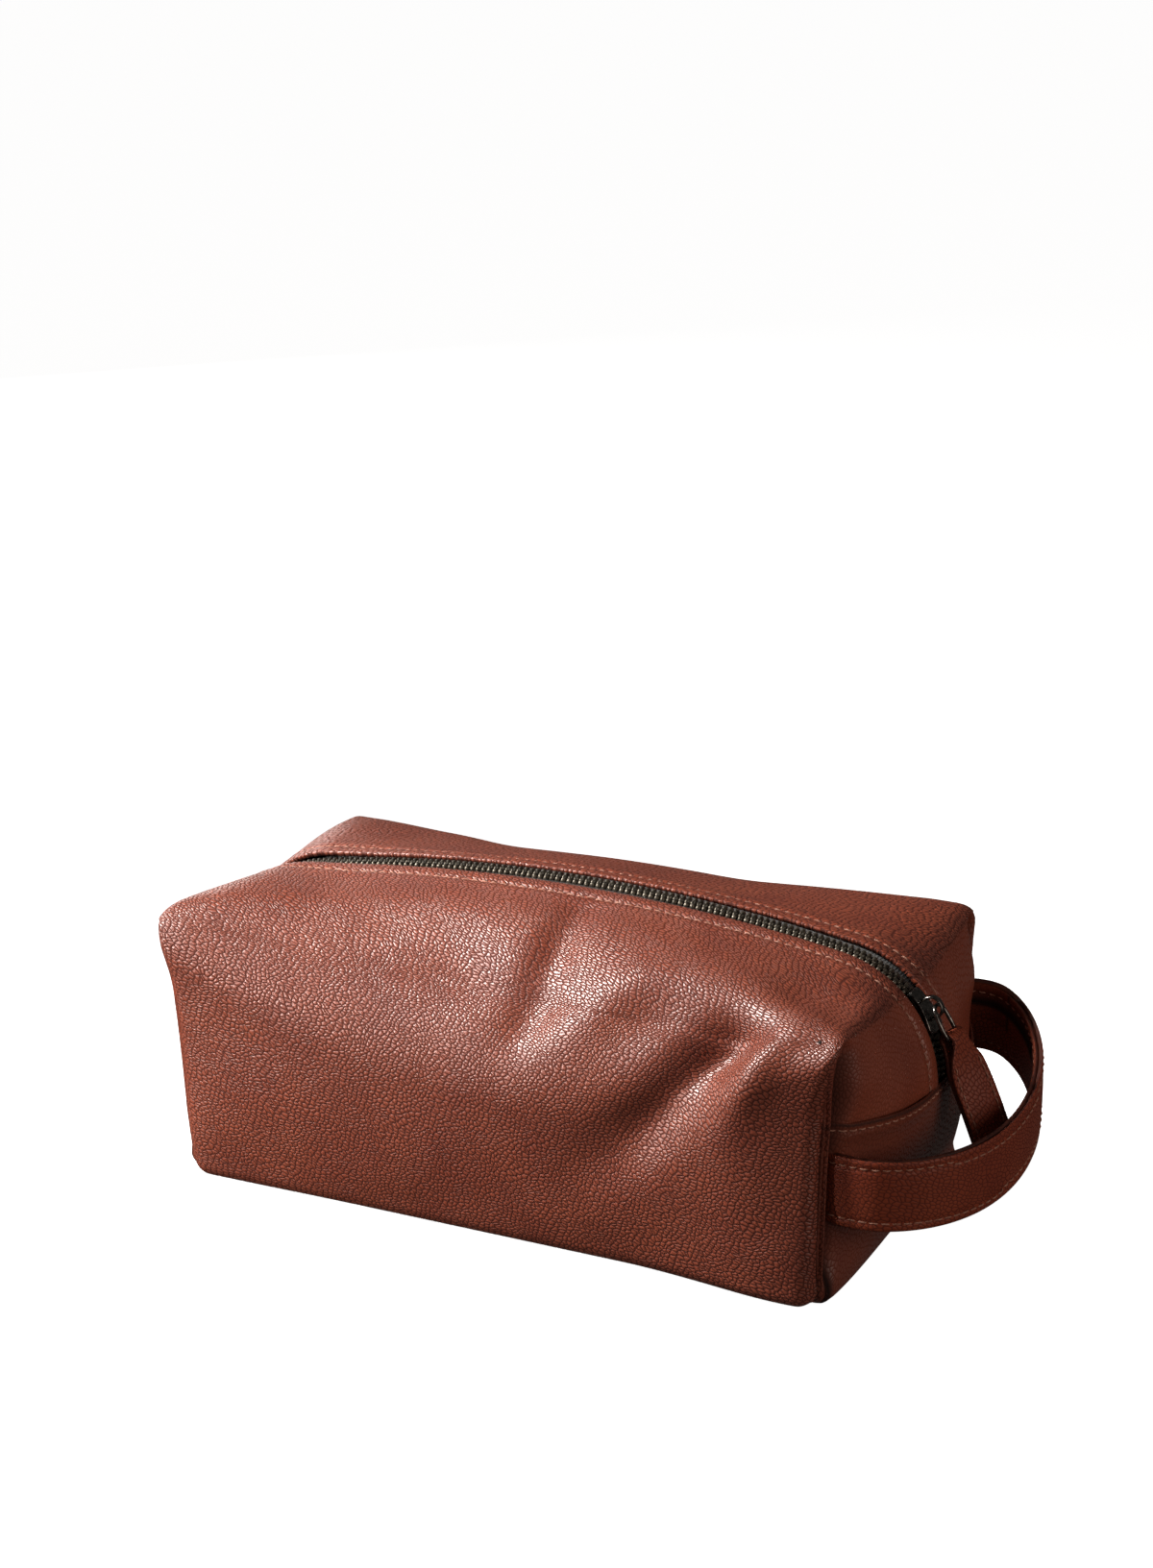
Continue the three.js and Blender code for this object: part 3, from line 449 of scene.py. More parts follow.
def grain_group():
    """Tumbled pebble grain on the flat hide: small domes between fine creases, and long soft wrinkles."""
    tree = bpy.data.node_groups.new("pebbled_grain", "ShaderNodeTree")
    face = tree.interface
    face.new_socket("Vector", in_out="INPUT", socket_type="NodeSocketVector")
    for label, value in (("Pebbles per Metre", 760.0), ("Wrinkles", 0.5), ("Softness", 0.3)):
        socket = face.new_socket(label, in_out="INPUT", socket_type="NodeSocketFloat")
        socket.default_value = value
    face.new_socket("Height", in_out="OUTPUT", socket_type="NodeSocketFloat")
    face.new_socket("Crease", in_out="OUTPUT", socket_type="NodeSocketFloat")
    face.new_socket("Mottle", in_out="OUTPUT", socket_type="NodeSocketFloat")
    nodes, links = tree.nodes, tree.links
    source = nodes.new("NodeGroupInput")
    result = nodes.new("NodeGroupOutput")

    def node(kind, **settings):
        made = nodes.new(kind)
        for key, value in settings.items():
            setattr(made, key, value)
        return made

    def noise(vector, scale, detail=2.0, rough=0.5):
        made = node("ShaderNodeTexNoise")
        made.inputs["Scale"].default_value = scale
        made.inputs["Detail"].default_value = detail
        made.inputs["Roughness"].default_value = rough
        links.new(vector, made.inputs["Vector"])
        return made

    # The hide's own flow bends the rows of pebbles
    drift = noise(source.outputs["Vector"], 55.0, 1.0)
    centred = node("ShaderNodeVectorMath", operation="SUBTRACT")
    centred.inputs[1].default_value = (0.5, 0.5, 0.5)
    links.new(drift.outputs["Color"], centred.inputs[0])
    flow = node("ShaderNodeVectorMath", operation="MULTIPLY_ADD")
    flow.inputs[1].default_value = (0.006, 0.006, 0)
    links.new(centred.outputs[0], flow.inputs[0])
    links.new(source.outputs["Vector"], flow.inputs[2])
    lay = node("ShaderNodeMapping", vector_type="TEXTURE")
    lay.inputs["Rotation"].default_value = (0, 0, math.radians(68))
    lay.inputs["Scale"].default_value = (0.82, 1.35, 1)
    links.new(flow.outputs[0], lay.inputs["Vector"])
    cells = node("ShaderNodeTexVoronoi", voronoi_dimensions="2D", feature="DISTANCE_TO_EDGE")
    cells.inputs["Randomness"].default_value = 0.8
    links.new(lay.outputs[0], cells.inputs["Vector"])
    links.new(source.outputs["Pebbles per Metre"], cells.inputs["Scale"])
    rise = node("ShaderNodeMapRange", interpolation_type="SMOOTHERSTEP")
    rise.inputs["From Min"].default_value = 0.0
    links.new(cells.outputs["Distance"], rise.inputs["Value"])
    links.new(maths(tree, "MULTIPLY_ADD", source.outputs["Softness"], 0.3, 0.06), rise.inputs["From Max"])
    swell = node("ShaderNodeMapRange", interpolation_type="SMOOTHSTEP")
    swell.inputs["From Max"].default_value = 0.55
    links.new(cells.outputs["Distance"], swell.inputs["Value"])
    # Long wrinkles run with the rows, in patches
    long_lay = node("ShaderNodeMapping", vector_type="TEXTURE")
    long_lay.inputs["Rotation"].default_value = (0, 0, math.radians(66))
    long_lay.inputs["Scale"].default_value = (0.3, 2.4, 1)
    links.new(flow.outputs[0], long_lay.inputs["Vector"])
    wrinkle = node("ShaderNodeTexVoronoi", voronoi_dimensions="2D", feature="DISTANCE_TO_EDGE")
    wrinkle.inputs["Scale"].default_value = 78.0
    links.new(long_lay.outputs[0], wrinkle.inputs["Vector"])
    cut = node("ShaderNodeMapRange", interpolation_type="SMOOTHSTEP")
    cut.inputs["From Max"].default_value = 0.05
    links.new(wrinkle.outputs["Distance"], cut.inputs["Value"])
    patches = noise(source.outputs["Vector"], 14.0, 1.0)
    where = node("ShaderNodeMapRange")
    where.inputs["From Min"].default_value = 0.48
    where.inputs["From Max"].default_value = 0.66
    links.new(patches.outputs["Fac"], where.inputs["Value"])
    strength = maths(tree, "MULTIPLY", where.outputs[0], source.outputs["Wrinkles"])
    lines = maths(tree, "MULTIPLY", maths(tree, "SUBTRACT", 1.0, cut.outputs[0]), strength)
    # Pores and fine skin on each pebble
    skin = noise(source.outputs["Vector"], 2600.0, 3.0, 0.6)
    uneven = noise(source.outputs["Vector"], 210.0, 2.0)
    broad = maths(tree, "MULTIPLY", rise.outputs[0], 0.45)
    pebble = maths(tree, "ADD", broad, maths(tree, "MULTIPLY", swell.outputs[0], 0.55))
    domes = maths(tree, "MULTIPLY", pebble, maths(tree, "MULTIPLY_ADD", uneven.outputs["Fac"], 0.4, 0.8))
    height = maths(tree, "SUBTRACT", maths(tree, "MULTIPLY_ADD", skin.outputs["Fac"], 0.05, domes), lines)
    links.new(height, result.inputs["Height"])
    links.new(maths(tree, "MAXIMUM", maths(tree, "SUBTRACT", 1.0, rise.outputs[0]), lines), result.inputs["Crease"])
    cloudy = noise(source.outputs["Vector"], 32.0, 4.0, 0.6)
    links.new(cloudy.outputs["Fac"], result.inputs["Mottle"])
    return tree


pebbled_grain = grain_group()


def leather(name, light, dark, relief, pebbles, wrinkles, softness, gloss, sheen, polish=0.0):
    """A dyed hide: light is its colour on the pebbles; dark, down in the creases, is partly dye and partly painted
    shade.
    """
    made, tree, nodes, links = new_material(name)
    shader = nodes["Principled BSDF"]
    place = nodes.new("ShaderNodeUVMap")
    place.uv_map = "hide"
    grain = nodes.new("ShaderNodeGroup")
    grain.node_tree = pebbled_grain
    for label, value in (("Pebbles per Metre", pebbles), ("Wrinkles", wrinkles), ("Softness", softness)):
        grain.inputs[label].default_value = value
    links.new(place.outputs["UV"], grain.inputs["Vector"])
    crease = grain.outputs["Crease"]
    marks = []
    # tucked carries painted shade and painted shadow; drawn_flat marks where the grain is pulled flat
    for label in ("tucked", "drawn_flat"):
        mark = nodes.new("ShaderNodeAttribute")
        mark.attribute_name = label
        marks.append(mark.outputs["Fac"])
    tucked, drawn = marks
    worn_tone = (light[0] * 0.8, light[1] * 0.72, light[2] * 0.7)
    fresh_tone = (light[0] * 1.12, light[1] * 1.2, light[2] * 1.2)
    colour = two_tones(tree, grain.outputs["Mottle"], 0.3, worn_tone, 0.7, fresh_tone)
    fresh = maths(tree, "MULTIPLY_ADD", drawn, -0.6, 1.0)
    # Darker down in the pebble creases: partly the dye there and partly painted shade
    creased = maths(tree, "MULTIPLY", maths(tree, "MULTIPLY", crease, fresh), 0.9)
    # The second tone, near black, is painted shade and painted shadow from the tucked mark: corner creases, end seams,
    # lower ends
    for dye_and_painted_shade, share in ((dark, creased), ((dark[0] * 0.12, dark[1] * 0.1, dark[2] * 0.1), tucked)):
        blend = nodes.new("ShaderNodeMix")
        blend.data_type = "RGBA"
        blend.inputs["B"].default_value = (*dye_and_painted_shade, 1)
        links.new(share, blend.inputs["Factor"])
        links.new(colour, blend.inputs["A"])
        colour = blend.outputs["Result"]
    links.new(colour, shader.inputs["Base Color"])
    rough = maths(tree, "MULTIPLY_ADD", crease, 0.3, gloss)
    links.new(maths(tree, "MAXIMUM", rough, tucked), shader.inputs["Roughness"])
    # The wax lies on the pebbles and not in the creases
    wax = nodes.new("ShaderNodeMapRange")
    for label, value in (("From Min", 0.1), ("From Max", 0.75), ("To Min", polish), ("To Max", 0.0)):
        wax.inputs[label].default_value = value
    links.new(maths(tree, "MAXIMUM", crease, tucked), wax.inputs["Value"])
    links.new(wax.outputs["Result"], shader.inputs["Coat Weight"])
    shader.inputs["Coat Roughness"].default_value = 0.36
    shader.inputs["Coat IOR"].default_value = 1.65
    domed = maths(tree, "MULTIPLY", grain.outputs["Height"], fresh)
    for depth, label in ((relief, "Normal"), (relief * 0.5, "Coat Normal")):
        bump = nodes.new("ShaderNodeBump")
        bump.inputs["Strength"].default_value = 1.0
        bump.inputs["Distance"].default_value = depth
        links.new(domed, bump.inputs["Height"])
        links.new(bump.outputs["Normal"], shader.inputs[label])
    shader.inputs["Specular IOR Level"].default_value = sheen
    return made


hide_leather = leather(
    "chestnut_hide",
    (0.328, 0.064, 0.0275),
    (0.06, 0.008, 0.0025),
    relief=0.00021,
    pebbles=640.0,
    wrinkles=0.15,
    softness=0.7,
    gloss=0.44,
    sheen=0.4,
    polish=1.0,
)


def lump(u, v, at, reach, turn, height):
    """A smooth rise (or dent) centred at a place on the hide, longer one way than the other."""
    du, dv = u - at[0], v - at[1]
    c, s = math.cos(math.radians(turn)), math.sin(math.radians(turn))
    p, q = (du * c + dv * s) / reach[0], (dv * c - du * s) / reach[1]
    return height * np.exp(-(p * p + q * q))


def hem(y):
    """The turned hem beside the zip: a soft puffed strip, pulled down by the stitching."""
    d = np.abs(y) - zip_slot
    puffed = 0.55 * np.sin(np.pi * np.clip(d / 6.3, 0, 1)) ** 0.7
    return puffed - 0.5 * np.exp(-(((d - 6.7) / 0.75) ** 2)) + 0.35 * np.exp(-(((d - 9.5) / 2.0) ** 2))


def front_slump(x, y, z, u, v):
    """The front hide has settled: a soft valley down from the zip, a deep dent over the right shoulder with a fold
    beyond it, and a hollow under each ear."""
    on_face = 1 - ease(np.abs(u), 118, 128)
    moved = lump(u, v, (13, 26), (26, 8), 88, -3.2) + lump(u, v, (11, -12), (14, 9), 70, -2.4)
    moved += lump(u, v, (38, 2), (24, 13), 62, 3.8) + lump(u, v, (58, 20), (24, 9), 8, 1.6)
    moved += lump(u, v, (85, -8), (19, 11), 74, -8.4) + lump(u, v, (73, -32), (24, 10.5), 56, -4.8)
    moved += lump(u, v, (52, -52), (26, 12), 48, -1.8)
    moved += lump(u, v, (103, -14), (24, 8), 72, 3.8) + lump(u, v, (96, 14), (12, 8), 0, 1.6)
    moved += lump(u, v, (104, -45), (30, 12), 80, 1.2) + lump(u, v, (110, 30), (16, 12), 30, -3.2)
    moved += lump(u, v, (-95, 0), (40, 14), -6, 1.2) + lump(u, v, (-60, 24), (30, 9), 10, -0.9)
    moved += lump(u, v, (-20, 14), (14, 20), 30, -0.9) + lump(u, v, (-70, -60), (50, 24), 0, 0.8)
    moved += 0.35 * np.sin(u / 13.0 + 2.2 * np.sin(v / 31.0)) * np.sin(v / 17.0 + 0.7)
    return moved * on_face * ease(v, -95, -80) * ease(half_width - zip_slot - v, 2, 14) + hem(y)


def back_slump(x, y, z, u, v):
    """The back hide is fuller, with two easy waves."""
    on_face = 1 - ease(np.abs(u), 112, 126)
    moved = lump(u, v, (48, -6), (15, 22), 10, -2.2) + lump(u, v, (-52, -2), (13, 20), -14, -1.8)
    moved += lump(u, v, (0, -20), (34, 18), 0, 1.4) + 0.4 * np.sin(u / 15.0 + 1.7 * np.sin(v / 27.0))
    return moved * on_face * ease(v, -95, -80) * ease(half_width - zip_slot - v, 2, 14) + hem(y)


def leather_half(name, side, slump):
    """The wall, the top and the upper ends share their rows, so the patches join along every fold."""
    top = place_rows([(0, crease_at, 0.7), (crease_at, 18, 1.1), (18, 50, 1.8), (50, half_width - zip_slot, 0.7)])
    lower = place_rows([(0, 3, 0.5), (3, 10, 1.0), (10, end_seam_at_wall, 1.8)])
    upper = place_rows([(end_seam_at_wall, ridge_height, 1.5)])
    wall = np.append(lower, upper[1:])
    across = place_rows([(-130, -120, 1.0), (-120, 120, 1.8), (120, 130, 1.0)])
    hide = Patchwork()
    grid_x, grid_t = np.meshgrid(across, top)
    swept_back = grid_x + 0.6 * grid_t**2 / (grid_t + 14)
    hide.add(top_face(grid_x, grid_t, side), (grid_x, grid_t), (swept_back, grid_t))
    grid_x, grid_z = np.meshgrid(across, wall)
    hide.add(wall_face(grid_x, grid_z, side), (grid_x, grid_z - ridge_height))
    for end in (1, -1):
        rising = seam_share + (1 - seam_share) * (upper - end_seam_at_wall) / (ridge_height - end_seam_at_wall)
        grid_t, grid_c = np.meshgrid(top, rising)
        xyz = end_face(grid_t, grid_c, side, end)
        hide.add(xyz, end_place(end, grid_c, grid_t), laid_flat(end, side, grid_c, xyz, grid_t))
        # The roll of the corner below the seam, and the edge that is tucked under the lower end panel
        grid_t, grid_c = np.meshgrid(top[top <= crease_at + 1e-6], seam_share * lower / end_seam_at_wall)
        xyz = end_face(grid_t, grid_c, side, end)
        hide.add(xyz, end_place(end, grid_c, grid_t), laid_flat(end, side, grid_c, xyz, grid_t))
        grid_t, grid_c = np.meshgrid(top[top >= crease_at - 1e-6], np.array([0.47, 0.485, 0.5]))
        tucked = end_face(grid_t, grid_c, side, end, -1.6 * (seam_share - grid_c) / 0.03)
        hide.add(tucked, end_place(end, grid_c, grid_t))
    return hide.build(name, slump)


front_leather = leather_half("front_leather", -1, front_slump)
back_leather = leather_half("back_leather", 1, back_slump)
for piece, side_name in ((front_leather, "front"), (back_leather, "back")):
    thicken(piece, hide_thickness)
    piece.data.materials.append(hide_leather)
    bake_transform(piece)
    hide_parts(f"{side_name}_panel", f"{side_name}_flap")


def set_along_line(tree, given, line, thing, finish, result):
    """Sets a thing at every pitch along a line whose points know which way is outwards, and makes it real."""
    nodes, links = tree.nodes, tree.links
    curve = nodes.new("GeometryNodeMeshToCurve")
    links.new(given.outputs[line], curve.inputs["Mesh"])
    spaced = nodes.new("GeometryNodeResampleCurve")
    spaced.mode = "LENGTH"
    links.new(curve.outputs["Curve"], spaced.inputs["Curve"])
    links.new(given.outputs["Pitch"], spaced.inputs["Length"])
    along = nodes.new("GeometryNodeInputTangent")
    outward = nodes.new("GeometryNodeInputNamedAttribute")
    outward.data_type = "FLOAT_VECTOR"
    outward.inputs["Name"].default_value = "outward"
    lay = nodes.new("FunctionNodeAlignRotationToVector")
    lay.axis = "X"
    links.new(along.outputs["Tangent"], lay.inputs["Vector"])
    turn = nodes.new("FunctionNodeAlignRotationToVector")
    turn.axis = "Z"
    turn.pivot_axis = "X"
    links.new(lay.outputs["Rotation"], turn.inputs["Rotation"])
    links.new(outward.outputs["Attribute"], turn.inputs["Vector"])
    placed = nodes.new("GeometryNodeInstanceOnPoints")
    links.new(spaced.outputs["Curve"], placed.inputs["Points"])
    links.new(thing, placed.inputs["Instance"])
    links.new(turn.outputs["Rotation"], placed.inputs["Rotation"])
    real = nodes.new("GeometryNodeRealizeInstances")
    links.new(placed.outputs["Instances"], real.inputs["Geometry"])
    coated = nodes.new("GeometryNodeSetMaterial")
    links.new(real.outputs["Geometry"], coated.inputs["Geometry"])
    links.new(given.outputs[finish], coated.inputs["Material"])
    links.new(coated.outputs["Geometry"], result)


def topstitch_tree():
    """A run of thread stitches along a line of points that know which way is outwards."""
    tree = bpy.data.node_groups.new("topstitch", "GeometryNodeTree")
    face = tree.interface
    face.new_socket("Seam Line", in_out="INPUT", socket_type="NodeSocketGeometry")
    for label, value in (("Pitch", 0.0034), ("Stitch Length", 0.0027), ("Thread Radius", 0.00032), ("Arch", 0.0007)):
        face.new_socket(label, in_out="INPUT", socket_type="NodeSocketFloat").default_value = value
    face.new_socket("Thread", in_out="INPUT", socket_type="NodeSocketMaterial")
    face.new_socket("Stitches", in_out="OUTPUT", socket_type="NodeSocketGeometry")
    nodes, links = tree.nodes, tree.links
    given = nodes.new("NodeGroupInput")
    result = nodes.new("NodeGroupOutput")

    def stitch_end(sign):
        point = nodes.new("ShaderNodeCombineXYZ")
        links.new(maths(tree, "MULTIPLY", given.outputs["Stitch Length"], sign * 0.5), point.inputs["X"])
        links.new(maths(tree, "MULTIPLY", given.outputs["Thread Radius"], -1.0), point.inputs["Z"])
        return point.outputs[0]

    arc = nodes.new("GeometryNodeCurveQuadraticBezier")
    arc.inputs["Resolution"].default_value = 6
    links.new(stitch_end(-1), arc.inputs["Start"])
    links.new(stitch_end(1), arc.inputs["End"])
    crest = nodes.new("ShaderNodeCombineXYZ")
    links.new(given.outputs["Arch"], crest.inputs["Z"])
    links.new(crest.outputs[0], arc.inputs["Middle"])
    round_thread = nodes.new("GeometryNodeCurvePrimitiveCircle")
    round_thread.inputs["Resolution"].default_value = 6
    links.new(given.outputs["Thread Radius"], round_thread.inputs["Radius"])
    stitch = nodes.new("GeometryNodeCurveToMesh")
    stitch.inputs["Fill Caps"].default_value = True
    links.new(arc.outputs["Curve"], stitch.inputs["Curve"])
    links.new(round_thread.outputs["Curve"], stitch.inputs["Profile Curve"])
    set_along_line(tree, given, "Seam Line", stitch.outputs["Mesh"], "Thread", result.inputs["Stitches"])
    return tree


topstitch = topstitch_tree()

thread, thread_tree, thread_nodes, thread_links = new_material("waxed_thread")
thread_place = thread_nodes.new("ShaderNodeTexCoord")
thread_twist = thread_nodes.new("ShaderNodeTexNoise")
thread_twist.inputs["Scale"].default_value = 900.0
thread_links.new(thread_place.outputs["Object"], thread_twist.inputs["Vector"])
thread_links.new(
    two_tones(thread_tree, thread_twist.outputs["Fac"], 0.35, (0.30, 0.11, 0.065), 0.65, (0.56, 0.28, 0.2)),
    thread_nodes["Principled BSDF"].inputs["Base Color"],
)
thread_nodes["Principled BSDF"].inputs["Roughness"].default_value = 0.6


def made_by(thing, tree, values, name):
    """Runs a Geometry Nodes tree on an object and keeps the result as a plain mesh object."""
    modifier = thing.modifiers.new("made", "NODES")
    modifier.node_group = tree
    sockets = {s.name: s.identifier for s in tree.interface.items_tree if s.in_out == "INPUT"}
    for label, value in values.items():
        modifier[sockets[label]] = value
    ready = thing.evaluated_get(bpy.context.evaluated_depsgraph_get())
    mesh = bpy.data.meshes.new_from_object(ready)
    bpy.data.objects.remove(thing)
    mesh.name = name
    for polygon in mesh.polygons:
        polygon.use_smooth = True
    return put_in_scene(name, mesh)


def line_object(name, points, outward):
    """A line of points, each knowing which way is outwards, for the trees that set things along it."""
    mesh = bpy.data.meshes.new(name)
    count = len(points)
    mesh.from_pydata([tuple(p) for p in points], [(i, i + 1) for i in range(count - 1)], [])
    facing = mesh.attributes.new("outward", "FLOAT_VECTOR", "POINT")
    facing.data.foreach_set("vector", np.asarray(outward, np.float32).ravel())
    return put_in_scene(name, mesh)


def surface_of(thing):
    """The outer face of a piece, without its thickness, for laying stitches on."""
    return BVHTree.FromPolygons([v.co for v in thing.data.vertices], [p.vertices for p in thing.data.polygons])


def stitch_run(name, points, surface, pitch=3.8, length=2.7, radius=0.32, proud=0.1):
    """Topstitching over a line of points (in millimetres) laid on a surface."""
    laid, outward = [], []
    for point in points:
        where, facing, _, _ = surface.find_nearest(Vector(point) / 1000)
        laid.append(where + facing * (proud / 1000))
        outward.append(facing)
    run = line_object(name + "_line", laid, outward)
    values = {
        "Pitch": pitch / 1000,
        "Stitch Length": length / 1000,
        "Thread Radius": radius / 1000,
        "Arch": radius * 2.2 / 1000,
        "Thread": thread,
    }
    return made_by(run, topstitch, values, name)


def along_zip(t, side, ends=(-1, 1)):
    """Points down one end, over the top and down the other, t round from the wall."""
    points = []
    c = np.linspace(0.53, 0.99, 24)
    x = np.linspace(-129.5, 129.5, 120)
    for end, order in ((-1, c), (0, None), (1, c[::-1])):
        if end == 0:
            xyz = top_face(x, np.full_like(x, t), side)
        else:
            xyz = end_face(np.full_like(order, t), order, side, end)
        points += list(zip(*[np.asarray(v, float) for v in xyz]))
    return points


for piece, side, side_name in ((front_leather, -1, "front"), (back_leather, 1, "back")):
    run = stitch_run(f"{side_name}_zip_stitching", along_zip(half_width - zip_slot - 6.6, side), surface_of(piece))
    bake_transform(run)

# ---------------------------------------------------------------------------------------------------------------
# Lower end panels: one piece of the same hide at each end, between the two corner creases. Its top edge is turned
# over, laid on the upper leather and topstitched 3 mm below the edge.

def end_panel(name, end):
    across = place_rows([(crease_at - 0.6, 14, 1.0), (14, 44, 1.8), (44, half_width, 1.9)])
    up = place_rows([(0, 0.04, 0.006), (0.04, 0.44, 0.02), (0.44, 0.518, 0.0065)])
    panel = Patchwork()
    for side in (-1, 1):
        grid_t, grid_c = np.meshgrid(across, up)
        turned = 0.4 + (0.5 + 0.9 * ease(grid_t, 6, 24)) * ease(grid_c, 0.44, 0.49) - 0.7 * ease(grid_c, 0.508, 0.518)
        turned = turned * (1 - 0.6 * ease(grid_t, 45, 62))
        dip = 0.5 * np.exp(-(((grid_c - 0.487) / 0.006) ** 2))
        flat = end_place(end, grid_c, grid_t)
        xyz = end_face(grid_t, grid_c, side, end, turned - dip)
        panel.add(xyz, flat, laid_flat(end, side, grid_c, xyz, grid_t))
    return panel.build(name)


for end, end_name in ((1, "right"), (-1, "left")):
    piece = end_panel(f"{end_name}_end_leather", end)
    thicken(piece, 1.5)
    piece.data.materials.append(hide_leather)
    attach(piece, "bag_body")
    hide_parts(f"{end_name}_end_panel")
    t = np.linspace(7.5, half_width, 40)
    front, back = (list(zip(*end_face(t, np.full_like(t, 0.487), side, end, 2.6))) for side in (-1, 1))
    run = stitch_run(f"{end_name}_end_stitching", front + back[-2::-1], surface_of(piece))
    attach(run, "bag_body")

# ---------------------------------------------------------------------------------------------------------------
# Base: a flat panel of the same hide let in between the walls, with a stiff board inside it that keeps the floor
# of the bag flat. The board stays as the model has it, in grey fibre board.

def base_panel():
    """A rounded rectangle, dished up a little at its edge where it is sewn to the walls."""
    grid_x, grid_y = np.meshgrid(place_rows([(-119, 119, 3.0)]), place_rows([(-63.2, 63.2, 3.0)]))
    edge_x, edge_y = 119 - np.abs(grid_x), 63.2 - np.abs(grid_y)
    in_x, in_y = round_edge(edge_x, edge_y, 9.0)
    height = 0.1 + 1.1 * np.clip(1 - np.minimum(edge_x, edge_y) / 5.0, 0, 1) ** 2
    sheet = Patchwork()
    xyz = spread_corners(grid_x - np.sign(grid_x) * in_x, grid_y - np.sign(grid_y) * in_y, height)
    sheet.add(xyz, (grid_x, grid_y))
    return sheet.build("base_leather")


base_leather = base_panel()
thicken(base_leather, 1.6)
base_leather.data.materials.append(hide_leather)
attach(base_leather, "bag_body")
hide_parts("base_panel")

fibre_board, board_tree, board_nodes, board_links = new_material("fibre_board")
board_place = board_nodes.new("ShaderNodeTexCoord")
board_fibre = board_nodes.new("ShaderNodeTexNoise")
board_fibre.inputs["Scale"].default_value = 420.0
board_fibre.inputs["Detail"].default_value = 5.0
board_links.new(board_place.outputs["Object"], board_fibre.inputs["Vector"])
board_links.new(
    two_tones(board_tree, board_fibre.outputs["Fac"], 0.0, (0.16, 0.14, 0.11), 1.0, (0.42, 0.38, 0.31)),
    board_nodes["Principled BSDF"].inputs["Base Color"],
)
board_nodes["Principled BSDF"].inputs["Roughness"].default_value = 0.9
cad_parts["base_board"].data.materials.clear()
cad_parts["base_board"].data.materials.append(fibre_board)

# ---------------------------------------------------------------------------------------------------------------
# Lining: dark brown woven cloth hung inside the leather and sewn in with the zip, with a floor over the board and
# a flat slip pocket on the back wall, hemmed along its mouth.

def woven_cloth(name, light, dark, threads=1100.0):
    """A plain weave on the cloth's own flat place."""
    made, tree, nodes, links = new_material(name)
    shader = nodes["Principled BSDF"]
    place = nodes.new("ShaderNodeUVMap")
    place.uv_map = "hide"
    waves = []
    for direction in ("X", "Y"):
        wave = nodes.new("ShaderNodeTexWave")
        wave.bands_direction = direction
        wave.inputs["Scale"].default_value = threads / 6.283
        wave.inputs["Distortion"].default_value = 0.6
        wave.inputs["Detail Scale"].default_value = 3.0
        links.new(place.outputs["UV"], wave.inputs["Vector"])
        waves.append(wave.outputs["Fac"])
    both = maths(tree, "MULTIPLY", *waves)
    tone = nodes.new("ShaderNodeMix")
    tone.data_type = "RGBA"
    tone.inputs["A"].default_value = (*dark, 1)
    tone.inputs["B"].default_value = (*light, 1)
    links.new(both, tone.inputs["Factor"])
    links.new(tone.outputs["Result"], shader.inputs["Base Color"])
    bump = nodes.new("ShaderNodeBump")
    bump.inputs["Distance"].default_value = 0.00012
    links.new(both, bump.inputs["Height"])
    links.new(bump.outputs["Normal"], shader.inputs["Normal"])
    shader.inputs["Roughness"].default_value = 0.85
    shader.inputs["Sheen Weight"].default_value = 0.25
    return made


lining_cloth = woven_cloth("lining_cloth", (0.062, 0.04, 0.032), (0.018, 0.011, 0.009))
lining_edge = 7.6  # from the zip's middle to the lining's sewn edge


def inwards(depth, slump, ripple=0.4):
    """The lining hangs just inside the hide and goes in wherever the hide has sunk."""

    def shape(x, y, z, u, v):
        near_zip = ease(v, 34, 54)
        loose = ripple * (1 + np.sin(u / 11.0 + 1.3 * np.sin(v / 23.0))) * ease(z, 8, 30) * (1 - near_zip)
        return slump(x, y, z, u, v) - mix(depth, 3.3, near_zip) - loose

    return shape


def drawn_in(xyz):
    """The lining is cut a little short, so it stands clear of the hide's corners."""
    x, y, z = xyz
    short = ease(np.abs(x), 96, 128)
    return x - np.sign(x) * 3.5 * short, y * (1 - 0.02 * short), z - 2.0 * short * ease(z, 70, 95)


def lining_half(name, side, slump):
    top = place_rows([(0, half_width - lining_edge, 2.6)])
    wall = place_rows([(6, ridge_height, 3.2)])
    across = place_rows([(-130, 130, 3.2)])
    cloth = Patchwork()
    grid_x, grid_t = np.meshgrid(across, top)
    cloth.add(drawn_in(top_face(grid_x, grid_t, side)), (grid_x, grid_t))
    grid_x, grid_z = np.meshgrid(across, wall)
    cloth.add(drawn_in(wall_face(grid_x, grid_z, side)), (grid_x, grid_z - ridge_height))
    for end in (1, -1):
        upper = place_rows([(seam_share, 1.0, 0.04)])
        grid_t, grid_c = np.meshgrid(top, upper)
        cloth.add(drawn_in(end_face(grid_t, grid_c, side, end)), end_place(end, grid_c, grid_t))
    return cloth.build(name, inwards(3.9, slump))


